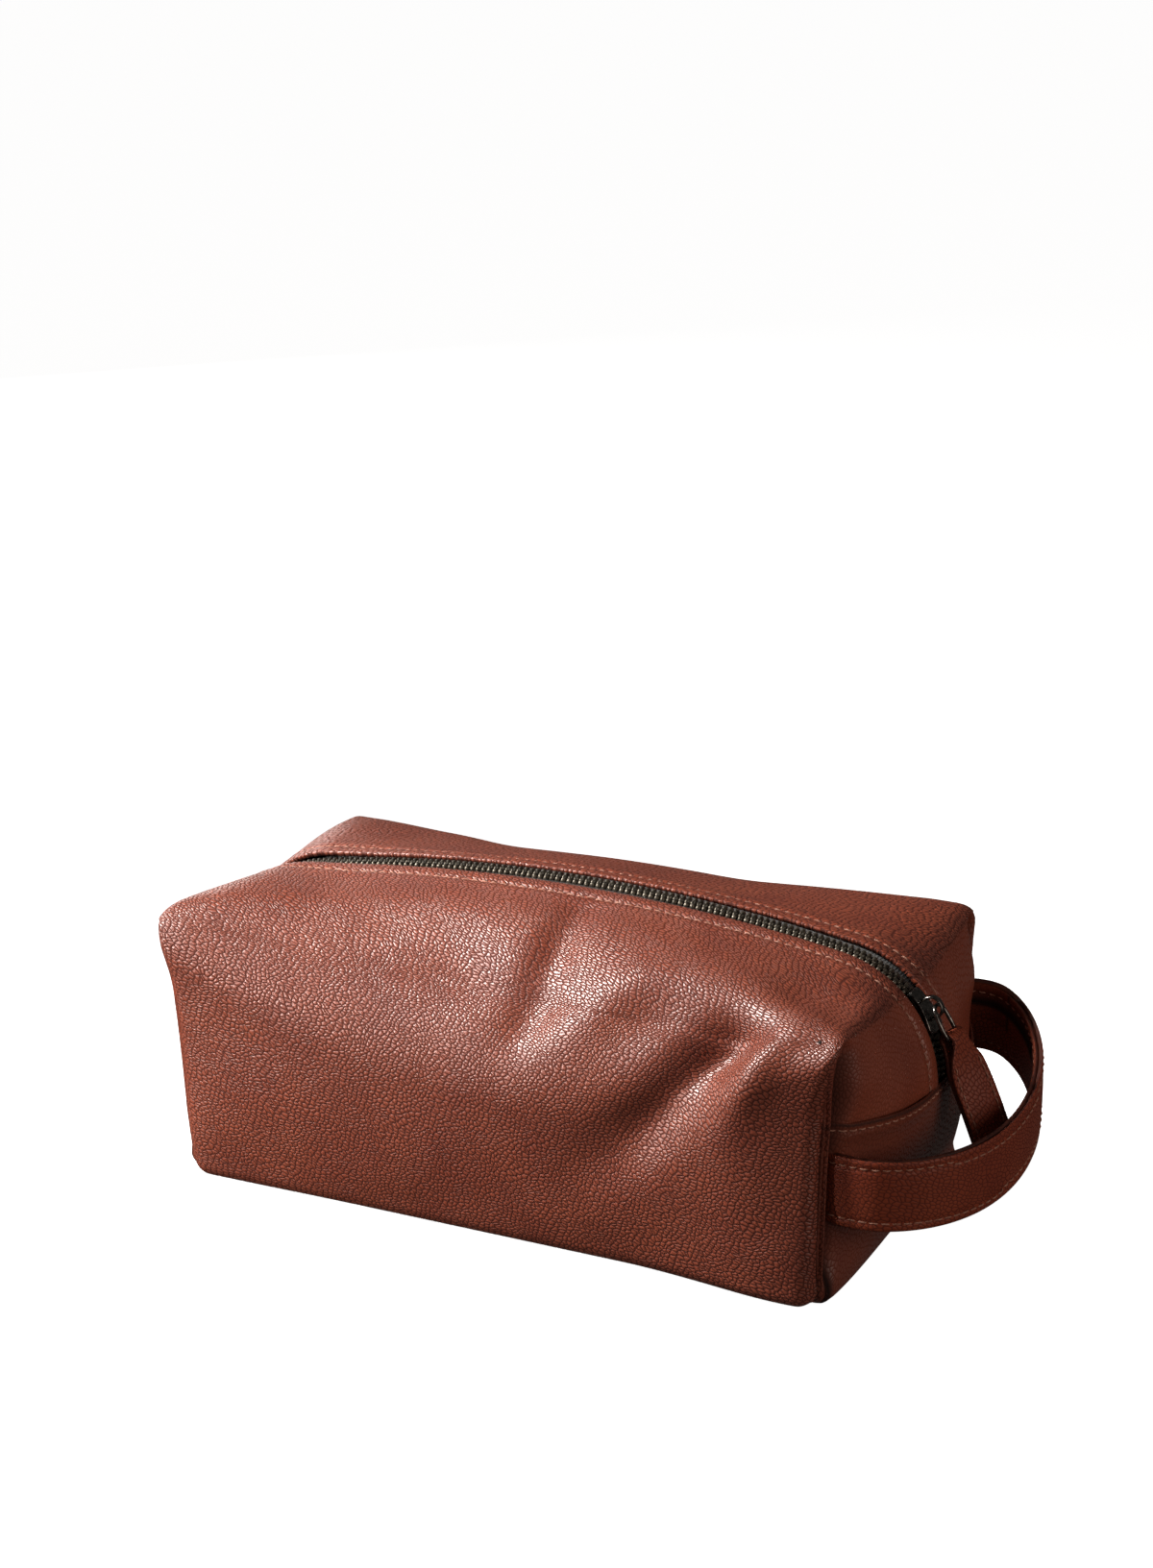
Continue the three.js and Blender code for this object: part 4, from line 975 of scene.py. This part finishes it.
def lining_floor():
    cloth = Patchwork()
    for end in (1, -1):
        for side in (-1, 1):
            grid_t, grid_c = np.meshgrid(place_rows([(0, half_width, 3.0)]), place_rows([(0.045, 0.52, 0.03)]))
            x, y, z = end_face(grid_t, grid_c, side, end)
            inner = (x - end * 3.2, y - side * 3.0 * (1 - grid_t / half_width), z)
            cloth.add(inner, (side * (half_width - grid_t), grid_c * 130))
    grid_x, grid_y = np.meshgrid(place_rows([(-119, 119, 4.0)]), place_rows([(-63.4, 63.4, 4.0)]))
    in_x, in_y = round_edge(119 - np.abs(grid_x), 63.4 - np.abs(grid_y), 12.0)
    grid_x, grid_y = grid_x - np.sign(grid_x) * in_x, grid_y - np.sign(grid_y) * in_y
    lift = 0.5 * np.sin(grid_x / 17.0) * np.sin(grid_y / 13.0) * (1 - (grid_x / 122) ** 2)
    cloth.add(spread_corners(grid_x, grid_y, 5.6 + np.abs(lift)), (grid_x, grid_y))
    return cloth.build("lining_floor")


for side, side_name, slump in ((-1, "front", front_slump), (1, "back", back_slump)):
    cloth = lining_half(f"{side_name}_lining_cloth", side, slump)
    thicken(cloth, 0.5)
    cloth.data.materials.append(lining_cloth)
    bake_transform(cloth)
    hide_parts(f"{side_name}_lining", f"{side_name}_flap_lining")
floor_cloth = lining_floor()
thicken(floor_cloth, 0.5)
floor_cloth.data.materials.append(lining_cloth)
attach(floor_cloth, "bag_body")
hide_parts("base_lining", "right_end_lining", "left_end_lining")


def pocket_face(x, z):
    grid = wall_face(x, z, 1)
    slack = 1.2 * (1 - (x / 70.0) ** 2) * ease(z, 12, 40)
    return grid[0], grid[1] - 5.4 - slack, grid[2]


pocket_rows = place_rows([(12, 53, 2.4), (53, 58, 0.8)])
grid_x, grid_z = np.meshgrid(place_rows([(-70, 70, 2.8)]), pocket_rows)
pocket_sheet = Patchwork()
pocket_sheet.add(pocket_face(grid_x, grid_z), (grid_x, grid_z))


def pocket_hem(x, y, z, u, v):
    return np.where(v > 53.5, 0.5, 0.0)


slip_pocket = pocket_sheet.build("slip_pocket_cloth", pocket_hem)
thicken(slip_pocket, 0.7)
slip_pocket.data.materials.append(lining_cloth)
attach(slip_pocket, "bag_body")
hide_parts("slip_pocket")

# ---------------------------------------------------------------------------------------------------------------
# Zip: two woven tapes with a row of antiqued brass teeth on each, sewn under the leather's turned edges. It runs
# from the seam at one end, over the crown, to the seam at the other. Closed above the slider, open below it.

zip_steps = 600
crown_x = np.linspace(0, crown_half_length, zip_steps)
crown_z = crown_height - (crown_height - crown_edge) * (crown_x / crown_half_length) ** 2
crown_reach = np.concatenate([[0], np.cumsum(np.hypot(np.diff(crown_x), np.diff(crown_z)))])
crown_length = crown_reach[-1]
zip_half_length = crown_length + bend_radius * bend_top - 0.6
slider_middle = math.radians(34)
open_from = crown_length + bend_radius * (bend_top - slider_middle)  # where the rows part, inside the slider


def zip_line(s):
    """A point of the zip's line and its outward direction, for a distance along the zip from its middle."""
    t = np.abs(s)
    end = np.where(s < 0, -1.0, 1.0)
    x = np.interp(t, crown_reach, crown_x)
    z = crown_height - (crown_height - crown_edge) * (x / crown_half_length) ** 2
    slope = -2 * (crown_height - crown_edge) * x / crown_half_length**2
    size = np.hypot(slope, 1)
    nx, nz = -slope / size, 1 / size
    angle = bend_top - (t - crown_length) / bend_radius
    bent = t > crown_length
    x = np.where(bent, bend_x + bend_radius * np.cos(angle), x)
    z = np.where(bent, bend_z + bend_radius * np.sin(angle), z)
    nx = np.where(bent, np.cos(angle), nx)
    nz = np.where(bent, np.sin(angle), nz)
    return end * x, z, end * nx, nz


def parting(s):
    """How far each row stands from the middle below the slider."""
    return 0.9 * ease(s, open_from, open_from + 12) * (1 - 0.55 * ease(s, zip_half_length - 14, zip_half_length))


tape_cloth = woven_cloth("zip_tape_cloth", (0.05, 0.04, 0.034), (0.01, 0.008, 0.007), 1500.0)


def tape(name, side):
    s = place_rows([(-zip_half_length, zip_half_length, 1.6)])
    w = np.array([2.2, 3.0, 3.8, 4.6, 6.0, 8.0, 10.0, 12.0])
    grid_w, grid_s = np.meshgrid(w, s)
    x, z, nx, nz = zip_line(grid_s)
    y = grid_w + parting(grid_s) * (1 - ease(grid_w, 3, 10))
    depth = 2.5 + 0.02 * grid_w
    cloth = Patchwork()
    cloth.add((x - nx * depth, side * y, z - nz * depth), (grid_s, grid_w))
    return cloth.build(name)


def outward_mesh(name, points, faces, smooth=True):
    """A closed mesh whose faces all look outwards."""
    mesh = bpy.data.meshes.new(name)
    mesh.from_pydata(points, [], faces)
    work = bmesh.new()
    work.from_mesh(mesh)
    bmesh.ops.recalc_face_normals(work, faces=work.faces)
    work.to_mesh(mesh)
    work.free()
    for polygon in mesh.polygons:
        polygon.use_smooth = smooth
    return mesh


def tube_faces(rings, sides, closed=False):
    """The faces of a tube through rings of points, with its ends filled unless it runs back into itself."""
    faces = []
    for i in range(rings if closed else rings - 1):
        n = (i + 1) % rings
        for k in range(sides):
            j = (k + 1) % sides
            faces.append((i * sides + k, i * sides + j, n * sides + j, n * sides + k))
    if not closed:
        faces += [tuple(range(sides - 1, -1, -1)), tuple(range((rings - 1) * sides, rings * sides))]
    return faces


def tooth_shape():
    """One cast tooth: a clamp round the tape's cord at its root, a slim neck and a rounded head."""
    from_middle = [3.5, 2.3, 1.2, 0.3, -0.75]
    half_lengths = [0.72, 0.88, 0.5, 0.74, 0.4]
    half_heights = [0.8, 1.15, 0.5, 1.0, 0.4]
    points = []
    for y, length, height in zip(from_middle, half_lengths, half_heights):
        for k in range(8):
            angle = (k + 0.5) * math.pi / 4
            sx, sz = math.cos(angle), math.sin(angle)
            points.append((1.12 * length * sx / 1000, y / 1000, 1.12 * height * sz / 1000))
    faces = tube_faces(len(from_middle), 8)
    return put_in_scene("tooth_shape", outward_mesh("tooth_shape", points, faces, smooth=False))


def tooth_row_tree():
    """Teeth along one edge of the zip."""
    tree = bpy.data.node_groups.new("tooth_row", "GeometryNodeTree")
    face = tree.interface
    face.new_socket("Zip Line", in_out="INPUT", socket_type="NodeSocketGeometry")
    face.new_socket("Tooth", in_out="INPUT", socket_type="NodeSocketObject")
    face.new_socket("Pitch", in_out="INPUT", socket_type="NodeSocketFloat").default_value = 0.0026
    face.new_socket("Metal", in_out="INPUT", socket_type="NodeSocketMaterial")
    face.new_socket("Teeth", in_out="OUTPUT", socket_type="NodeSocketGeometry")
    nodes, links = tree.nodes, tree.links
    given = nodes.new("NodeGroupInput")
    result = nodes.new("NodeGroupOutput")
    tooth = nodes.new("GeometryNodeObjectInfo")
    links.new(given.outputs["Tooth"], tooth.inputs["Object"])
    set_along_line(tree, given, "Zip Line", tooth.outputs["Geometry"], "Metal", result.inputs["Teeth"])
    return tree


def metal(name, light, dark, gloss, scale=700.0, sheen=1.0):
    """A plated or antiqued metal with a patchy tone and uneven polish."""
    made, tree, nodes, links = new_material(name)
    shader = nodes["Principled BSDF"]
    place = nodes.new("ShaderNodeTexCoord")
    patina = nodes.new("ShaderNodeTexNoise")
    patina.inputs["Scale"].default_value = scale
    patina.inputs["Detail"].default_value = 3.0
    links.new(place.outputs["Object"], patina.inputs["Vector"])
    links.new(two_tones(tree, patina.outputs["Fac"], 0.35, dark, 0.68, light), shader.inputs["Base Color"])
    polish = nodes.new("ShaderNodeMapRange")
    polish.inputs["To Min"].default_value = gloss - 0.08
    polish.inputs["To Max"].default_value = gloss + 0.12
    links.new(patina.outputs["Fac"], polish.inputs["Value"])
    links.new(polish.outputs["Result"], shader.inputs["Roughness"])
    shader.inputs["Metallic"].default_value = sheen
    return made


antique_brass = metal("antique_brass", (0.22, 0.19, 0.15), (0.07, 0.058, 0.044), 0.42, 700.0, 0.8)
black_nickel = metal("black_nickel", (0.26, 0.24, 0.22), (0.08, 0.075, 0.07), 0.24)
tooth_row = tooth_row_tree()
tooth = tooth_shape()
tooth_pitch = 2.3
for side, side_name in ((-1, "front"), (1, "back")):
    strip = tape(f"{side_name}_zip_tape", side)
    thicken(strip, 0.5)
    strip.data.materials.append(tape_cloth)
    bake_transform(strip)
    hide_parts(*[f"{side_name}_tape_{part}" for part in ("top", "right", "left")])
    # The tooth's head points across its row, so the back row runs the other way along the zip
    shift = 0 if side < 0 else tooth_pitch / 2
    s = np.linspace(-zip_half_length + 1 + shift, zip_half_length - 2 + shift, 320)
    x, z, nx, nz = zip_line(s)
    depth = 2.1
    spread = parting(s)
    points = np.stack([x - nx * depth, side * spread, z - nz * depth], -1) / 1000
    outward = np.stack([nx, nx * 0, nz], -1)
    if side < 0:
        points, outward = points[::-1], outward[::-1]
    row = made_by(
        line_object(f"{side_name}_row_line", points, outward),
        tooth_row,
        {"Tooth": tooth, "Pitch": tooth_pitch / 1000, "Metal": antique_brass},
        f"{side_name}_zip_teeth",
    )
    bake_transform(row)
    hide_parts(*[f"{side_name}_teeth_{part}" for part in ("top", "right", "left")])
bpy.data.objects.remove(tooth)
for stop in ("closed_end_stop", "front_top_stop", "back_top_stop"):
    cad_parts[stop].data.materials.clear()
    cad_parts[stop].data.materials.append(antique_brass)

# ---------------------------------------------------------------------------------------------------------------
# Slider: two die-cast plates on a post, curved to the bend, in black nickel. A bridge on the upper plate holds a
# wire ring, shaped like a long loop, which carries the leather pull.

slider_half_arc = math.radians(10.5)


def slider_part(name, sections, bevel):
    """A solid through sections across the bend: each is its angle, and its four corners' radius and place across."""
    points = [
        ((bend_x + radius * math.cos(angle)) / 1000, y / 1000, (bend_z + radius * math.sin(angle)) / 1000)
        for angle, corners in sections
        for radius, y in corners
    ]
    thing = put_in_scene(name, outward_mesh(name, points, tube_faces(len(sections), 4)))
    thing.data.materials.append(black_nickel)
    edge = thing.modifiers.new("edges", "BEVEL")
    edge.width = bevel / 1000
    edge.segments = 3
    edge.limit_method = "ANGLE"
    edge.angle_limit = math.radians(40)
    edge.harden_normals = True
    return thing


def plate(share):
    """Half the plate's width: broad shoulders where the rows part, slimmer where they are joined."""
    return 5.5 - 1.5 * ease(share, 0.15, 0.75) - 0.9 * ease(share, 0.9, 1.0) - 0.8 * (1 - ease(share, 0, 0.1))


def oblong(half, low, high):
    return (low, -half), (low, half), (high, half), (high, -half)


slider_parts = []
shares = np.linspace(0, 1, 15)
angles = slider_middle - slider_half_arc + 2 * slider_half_arc * shares
for label, low, high, crown in (("upper_plate", 44.3, 45.7, 0.35), ("lower_plate", 39.8, 41.0, 0)):
    sections = [(a, oblong(plate(s), low, high + crown * math.sin(math.pi * s))) for a, s in zip(angles, shares)]
    slider_parts.append(slider_part(f"slider_{label}", sections, 0.35))
for label, sign in (("front", -1), ("back", 1)):
    sections = []
    for a, s in zip(angles, shares):
        outer, inner = sign * plate(s), sign * (plate(s) - 0.8)
        sections.append((a, ((43.3, outer), (44.6, outer), (44.6, inner), (43.3, inner))))
    slider_parts.append(slider_part(f"slider_{label}_flange", sections, 0.2))
first = slider_middle - slider_half_arc
post = [(first + past, oblong(0.5, 40.5, 44.8)) for past in (0.01, 0.06)]
slider_parts.append(slider_part("slider_post", post, 0.15))
for part in slider_parts:
    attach(part, "zip_slider")
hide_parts("slider_body")


def swept(name, path, frames, section, closed, part_finish):
    """A section carried along a path of points. frames gives the two directions the section lies on."""
    points = [
        tuple((Vector(p) + Vector(u) * a + Vector(v) * b) / 1000) for p, (u, v) in zip(path, frames) for a, b in section
    ]
    mesh = outward_mesh(name, points, tube_faces(len(path), len(section), closed))
    mesh.materials.append(part_finish)
    return put_in_scene(name, mesh)


def squared(value, power):
    """Draws a sine or a cosine out, so that its circle becomes squarer."""
    return math.copysign(abs(value) ** power, value)


ring_pivot = Vector((139.0, 0, 88.0))
ring_bar = Vector((145.6, 0, 76.8))
pivot_angle = math.atan2(ring_pivot.z - bend_z, ring_pivot.x - bend_x)
pivot_radius = math.hypot(ring_pivot.z - bend_z, ring_pivot.x - bend_x)

bridge_path, bridge_frames = [], []
for k in range(15):
    turn = math.pi * k / 14
    angle = pivot_angle + math.radians(4.6) * math.cos(turn)
    radius = 45.4 + (pivot_radius + 1.9 - 45.4) * math.sin(turn) ** 0.55
    bridge_path.append((bend_x + radius * math.cos(angle), 0, bend_z + radius * math.sin(angle)))
for k in range(15):
    before, after = Vector(bridge_path[max(k - 1, 0)]), Vector(bridge_path[min(k + 1, 14)])
    tangent = (after - before).normalized()
    bridge_frames.append((Vector((0, 1, 0)), tangent.cross(Vector((0, 1, 0)))))
bridge_section = [
    (1.3 * squared(math.cos(a), 0.5), 0.5 * squared(math.sin(a), 0.6)) for a in np.linspace(0, 2 * math.pi, 13)[:-1]
]
bridge = swept("slider_bridge_arch", bridge_path, bridge_frames, bridge_section, False, black_nickel)
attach(bridge, "zip_slider")
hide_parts("slider_bridge")

ring_down = (ring_bar - ring_pivot).normalized()
ring_length = (ring_bar - ring_pivot).length
ring_path, ring_frames = [], []
ring_steps = 56
ring_out = ring_down.cross(Vector((0, 1, 0)))
for k in range(ring_steps):
    turn = 2 * math.pi * k / ring_steps
    across, down = squared(math.sin(turn), 0.62), squared(math.cos(turn), 0.75)
    half = 4.0 + 0.9 * (1 - down) / 2
    ring_path.append(ring_pivot + ring_down * (ring_length * (1 - down) / 2) + Vector((0, half * across, 0)))
for k in range(ring_steps):
    tangent = (ring_path[(k + 1) % ring_steps] - ring_path[k - 1]).normalized()
    ring_frames.append((ring_out, tangent.cross(ring_out)))
wire = [(0.75 * math.cos(a), 0.75 * math.sin(a)) for a in np.linspace(0, 2 * math.pi, 11)[:-1]]
pull_ring = swept("pull_ring_wire", ring_path, ring_frames, wire, True, black_nickel)
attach(pull_ring, "pull_ring")
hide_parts("pull_ring")

# ---------------------------------------------------------------------------------------------------------------
# Pull: one strip of the hide folded round the ring's lower bar and sewn to itself along both edges. Narrow at the
# ring and 15.6 mm wide below, it turns a little towards the back as it hangs.

# The strap and the pull are the same hide, smoother, in a slightly darker tone; the darker tone is painted shade for
# the shade they sit in
trim_leather = leather(
    "chestnut_trim_painted_shade",
    (0.30, 0.056, 0.024),
    (0.11, 0.016, 0.007),
    relief=0.0001,
    pebbles=620.0,
    wrinkles=0.3,
    softness=0.5,
    gloss=0.45,
    sheen=0.3,
)
edge_paint = metal("edge_paint", (0.12, 0.028, 0.014), (0.06, 0.014, 0.008), 0.5, 300.0, 0.0)
pull_tilt = math.radians(24)
pull_yaw = math.radians(15)
pull_length = 42.0
pull_loop = 2.75
pull_seam_inset = 2.0


def pull_half_width(d):
    return mix(3.5, 7.8, ease(d, -2.0, 11.0)) - 2.2 * ease(d, pull_length - 2.2, pull_length) ** 2


def pull_point(along, across, out):
    """along runs down the pull from the ring's bar, across its width, and out off its face, in millimetres."""
    yaw = pull_yaw + math.radians(17) * float(ease(along, 1, 18))
    curve = 1.1 * math.sin(math.pi * min(max(along, 0) / pull_length, 1))
    x, y = (out + curve), across
    c, s = math.cos(-yaw), math.sin(-yaw)
    x, y, z = x * c - y * s, x * s + y * c, -along
    c, s = math.cos(-pull_tilt), math.sin(-pull_tilt)
    return (ring_bar.x + x * c + z * s, y, ring_bar.z - x * s + z * c)


def pull_sheet():
    """The strip's middle surface: down the face, with the fold over the bar and down the back."""
    stations = []
    for d in np.linspace(pull_length, 6, 26):
        stations.append((d, 0.75 + 0.35 * float(ease(d, 14, 6)), d))
    for turn in np.linspace(-0.35, math.pi + 0.35, 15):
        stations.append((-pull_loop * math.sin(turn), pull_loop * math.cos(turn), None))
    for d in np.linspace(6, pull_length, 26):
        stations.append((d, -(0.75 + 0.35 * float(ease(d, 14, 6))), d))
    points, faces, flat = [], [], []
    shares = np.linspace(-1, 1, 15)
    run = 0.0
    for i, (along, out, d) in enumerate(stations):
        half = float(pull_half_width(d if d is not None else 0.0))
        if i:
            run += math.hypot(along - stations[i - 1][0], out - stations[i - 1][1])
        for share in shares:
            off_seam = (abs(share) * half - (half - pull_seam_inset)) / 0.5
            groove = 0.22 * math.exp(-(off_seam**2)) if d is not None and d > 8 else 0
            bulge = 0.25 * (1 - share * share)
            sign = 1 if out > 0 else -1
            points.append(tuple(v / 1000 for v in pull_point(along, share * half, out + sign * (bulge - groove))))
            flat.append((run, share * half))
    rows = len(stations)
    for i in range(rows - 1):
        for k in range(14):
            faces.append((i * 15 + k, i * 15 + k + 1, i * 15 + 16 + k, i * 15 + 15 + k))
    mesh = bpy.data.meshes.new("leather_pull_strip")
    mesh.from_pydata(points, [], faces)
    layer = mesh.uv_layers.new(name="hide")
    for index, corner in enumerate(mesh.loops):
        layer.data[index].uv = (flat[corner.vertex_index][0] / 1000, flat[corner.vertex_index][1] / 1000)
    for polygon in mesh.polygons:
        polygon.use_smooth = True
    return put_in_scene("leather_pull_strip", mesh)


leather_pull = pull_sheet()
thicken(leather_pull, 1.25, offset=0, edge_slot=1)
leather_pull.data.materials.append(trim_leather)
leather_pull.data.materials.append(edge_paint)
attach(leather_pull, "leather_pull")
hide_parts("leather_pull")
pull_surface = surface_of(leather_pull)
for label, sign in (("near", -1), ("far", 1)):
    for face_name, out in (("face", 2.2), ("back", -2.2)):
        placed, facing = [], []
        for d in np.linspace(10, pull_length - 3, 24):
            point = pull_point(d, sign * (float(pull_half_width(d)) - pull_seam_inset), out)
            facing.append((Vector(pull_point(d, 0, out * 2)) - Vector(pull_point(d, 0, 0))).normalized())
            placed.append(pull_surface.find_nearest(Vector(point) / 1000)[0] + facing[-1] * 0.0007)
        run = made_by(
            line_object(f"pull_{label}_{face_name}_line", placed, facing),
            topstitch,
            {"Pitch": 0.0031, "Stitch Length": 0.0024, "Thread Radius": 0.00027, "Arch": 0.0006, "Thread": thread},
            f"pull_{label}_{face_name}_stitching",
        )
        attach(run, "leather_pull")

# ---------------------------------------------------------------------------------------------------------------
# Grab strap: two 25 mm strips of the hide sewn back to back along both edges. It comes out of the crease behind
# each corner roll, low at the front and higher at the back, and stands off the end in a wide loop.

strap_half = 12.5
strap_seam = 9.4  # from the strap's middle to its stitching
strap_roots = ((117.5, -60.0), (121.0, -62.0), (125.5, -64.2))


def strap_plan():
    """The loop in plan: its outer face's points from the front root to the back root, evenly spaced."""
    turn = np.linspace(-1.38, 1.38, 60)
    arc = [(128.9 + 44.8 * math.cos(a), 65.4 * math.sin(a)) for a in turn]
    points = list(strap_roots) + arc + [(x, -y) for x, y in reversed(strap_roots)]
    points = np.array(points)
    for _ in range(6):
        points[1:-1] = (points[:-2] + 2 * points[1:-1] + points[2:]) / 4
    reach = np.concatenate([[0], np.cumsum(np.hypot(*np.diff(points, axis=0).T))])
    even = np.linspace(0, reach[-1], 130)
    return np.stack([np.interp(even, reach, points[:, k]) for k in (0, 1)], -1), even


def strap_height(y):
    share = y / 66.4
    return 45.0 + 11.0 * share + 8.4 * share * share


def strap_layer(name, outer):
    plan, run = strap_plan()
    tangent = np.gradient(plan, axis=0)
    tangent /= np.linalg.norm(tangent, axis=1)[:, None]
    out = np.stack([tangent[:, 1], -tangent[:, 0]], -1)
    w = np.concatenate([[-strap_half, -12.2, -11.6], np.linspace(-11, 11, 27), [11.6, 12.2, strap_half]])
    strip = Patchwork()
    grid_w, grid_i = np.meshgrid(w, np.arange(len(run)))
    edge = 0.45 * np.clip((np.abs(grid_w) - (strap_half - 1)), 0, 1) ** 2
    groove = 0.5 * np.exp(-(((np.abs(grid_w) - strap_seam) / 0.6) ** 2))
    pillow = 0.3 * np.clip(1 - (grid_w / strap_seam) ** 2, 0, 1)
    sign = 1 if outer else -1
    level = (0.0 if outer else -3.3) + sign * (pillow - groove - edge)
    x = plan[grid_i, 0] + out[grid_i, 0] * level
    y = plan[grid_i, 1] + out[grid_i, 1] * level
    z = strap_height(y) + grid_w
    strip.add((x, y, z), (run[grid_i], grid_w))
    thing = strip.build(name)
    facing = sum(
        p.normal.x * (p.center.x - 0.13) + p.normal.y * p.center.y for p in list(thing.data.polygons)[::7]
    )
    if (facing > 0) != outer:
        thing.data.flip_normals()
    thicken(thing, 1.6, edge_slot=1)
    thing.data.materials.append(trim_leather)
    thing.data.materials.append(edge_paint)
    return thing


for layer_name, outer in (("outer", True), ("inner", False)):
    strip = strap_layer(f"strap_{layer_name}_strip", outer)
    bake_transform(strip)
    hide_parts(f"strap_{layer_name}")
    surface = surface_of(strip)
    plan, _ = strap_plan()
    off = 2 if outer else -5
    for edge_name, w in (("upper", strap_seam), ("lower", -strap_seam)):
        points = [
            (x + off * math.cos(math.atan2(y, x - 128)), y, strap_height(y) + w) for x, y in plan[6:-6]
        ]
        run = stitch_run(f"strap_{layer_name}_{edge_name}_stitching", points, surface, 3.8, 2.6, 0.3, 0.04)
        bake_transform(run)
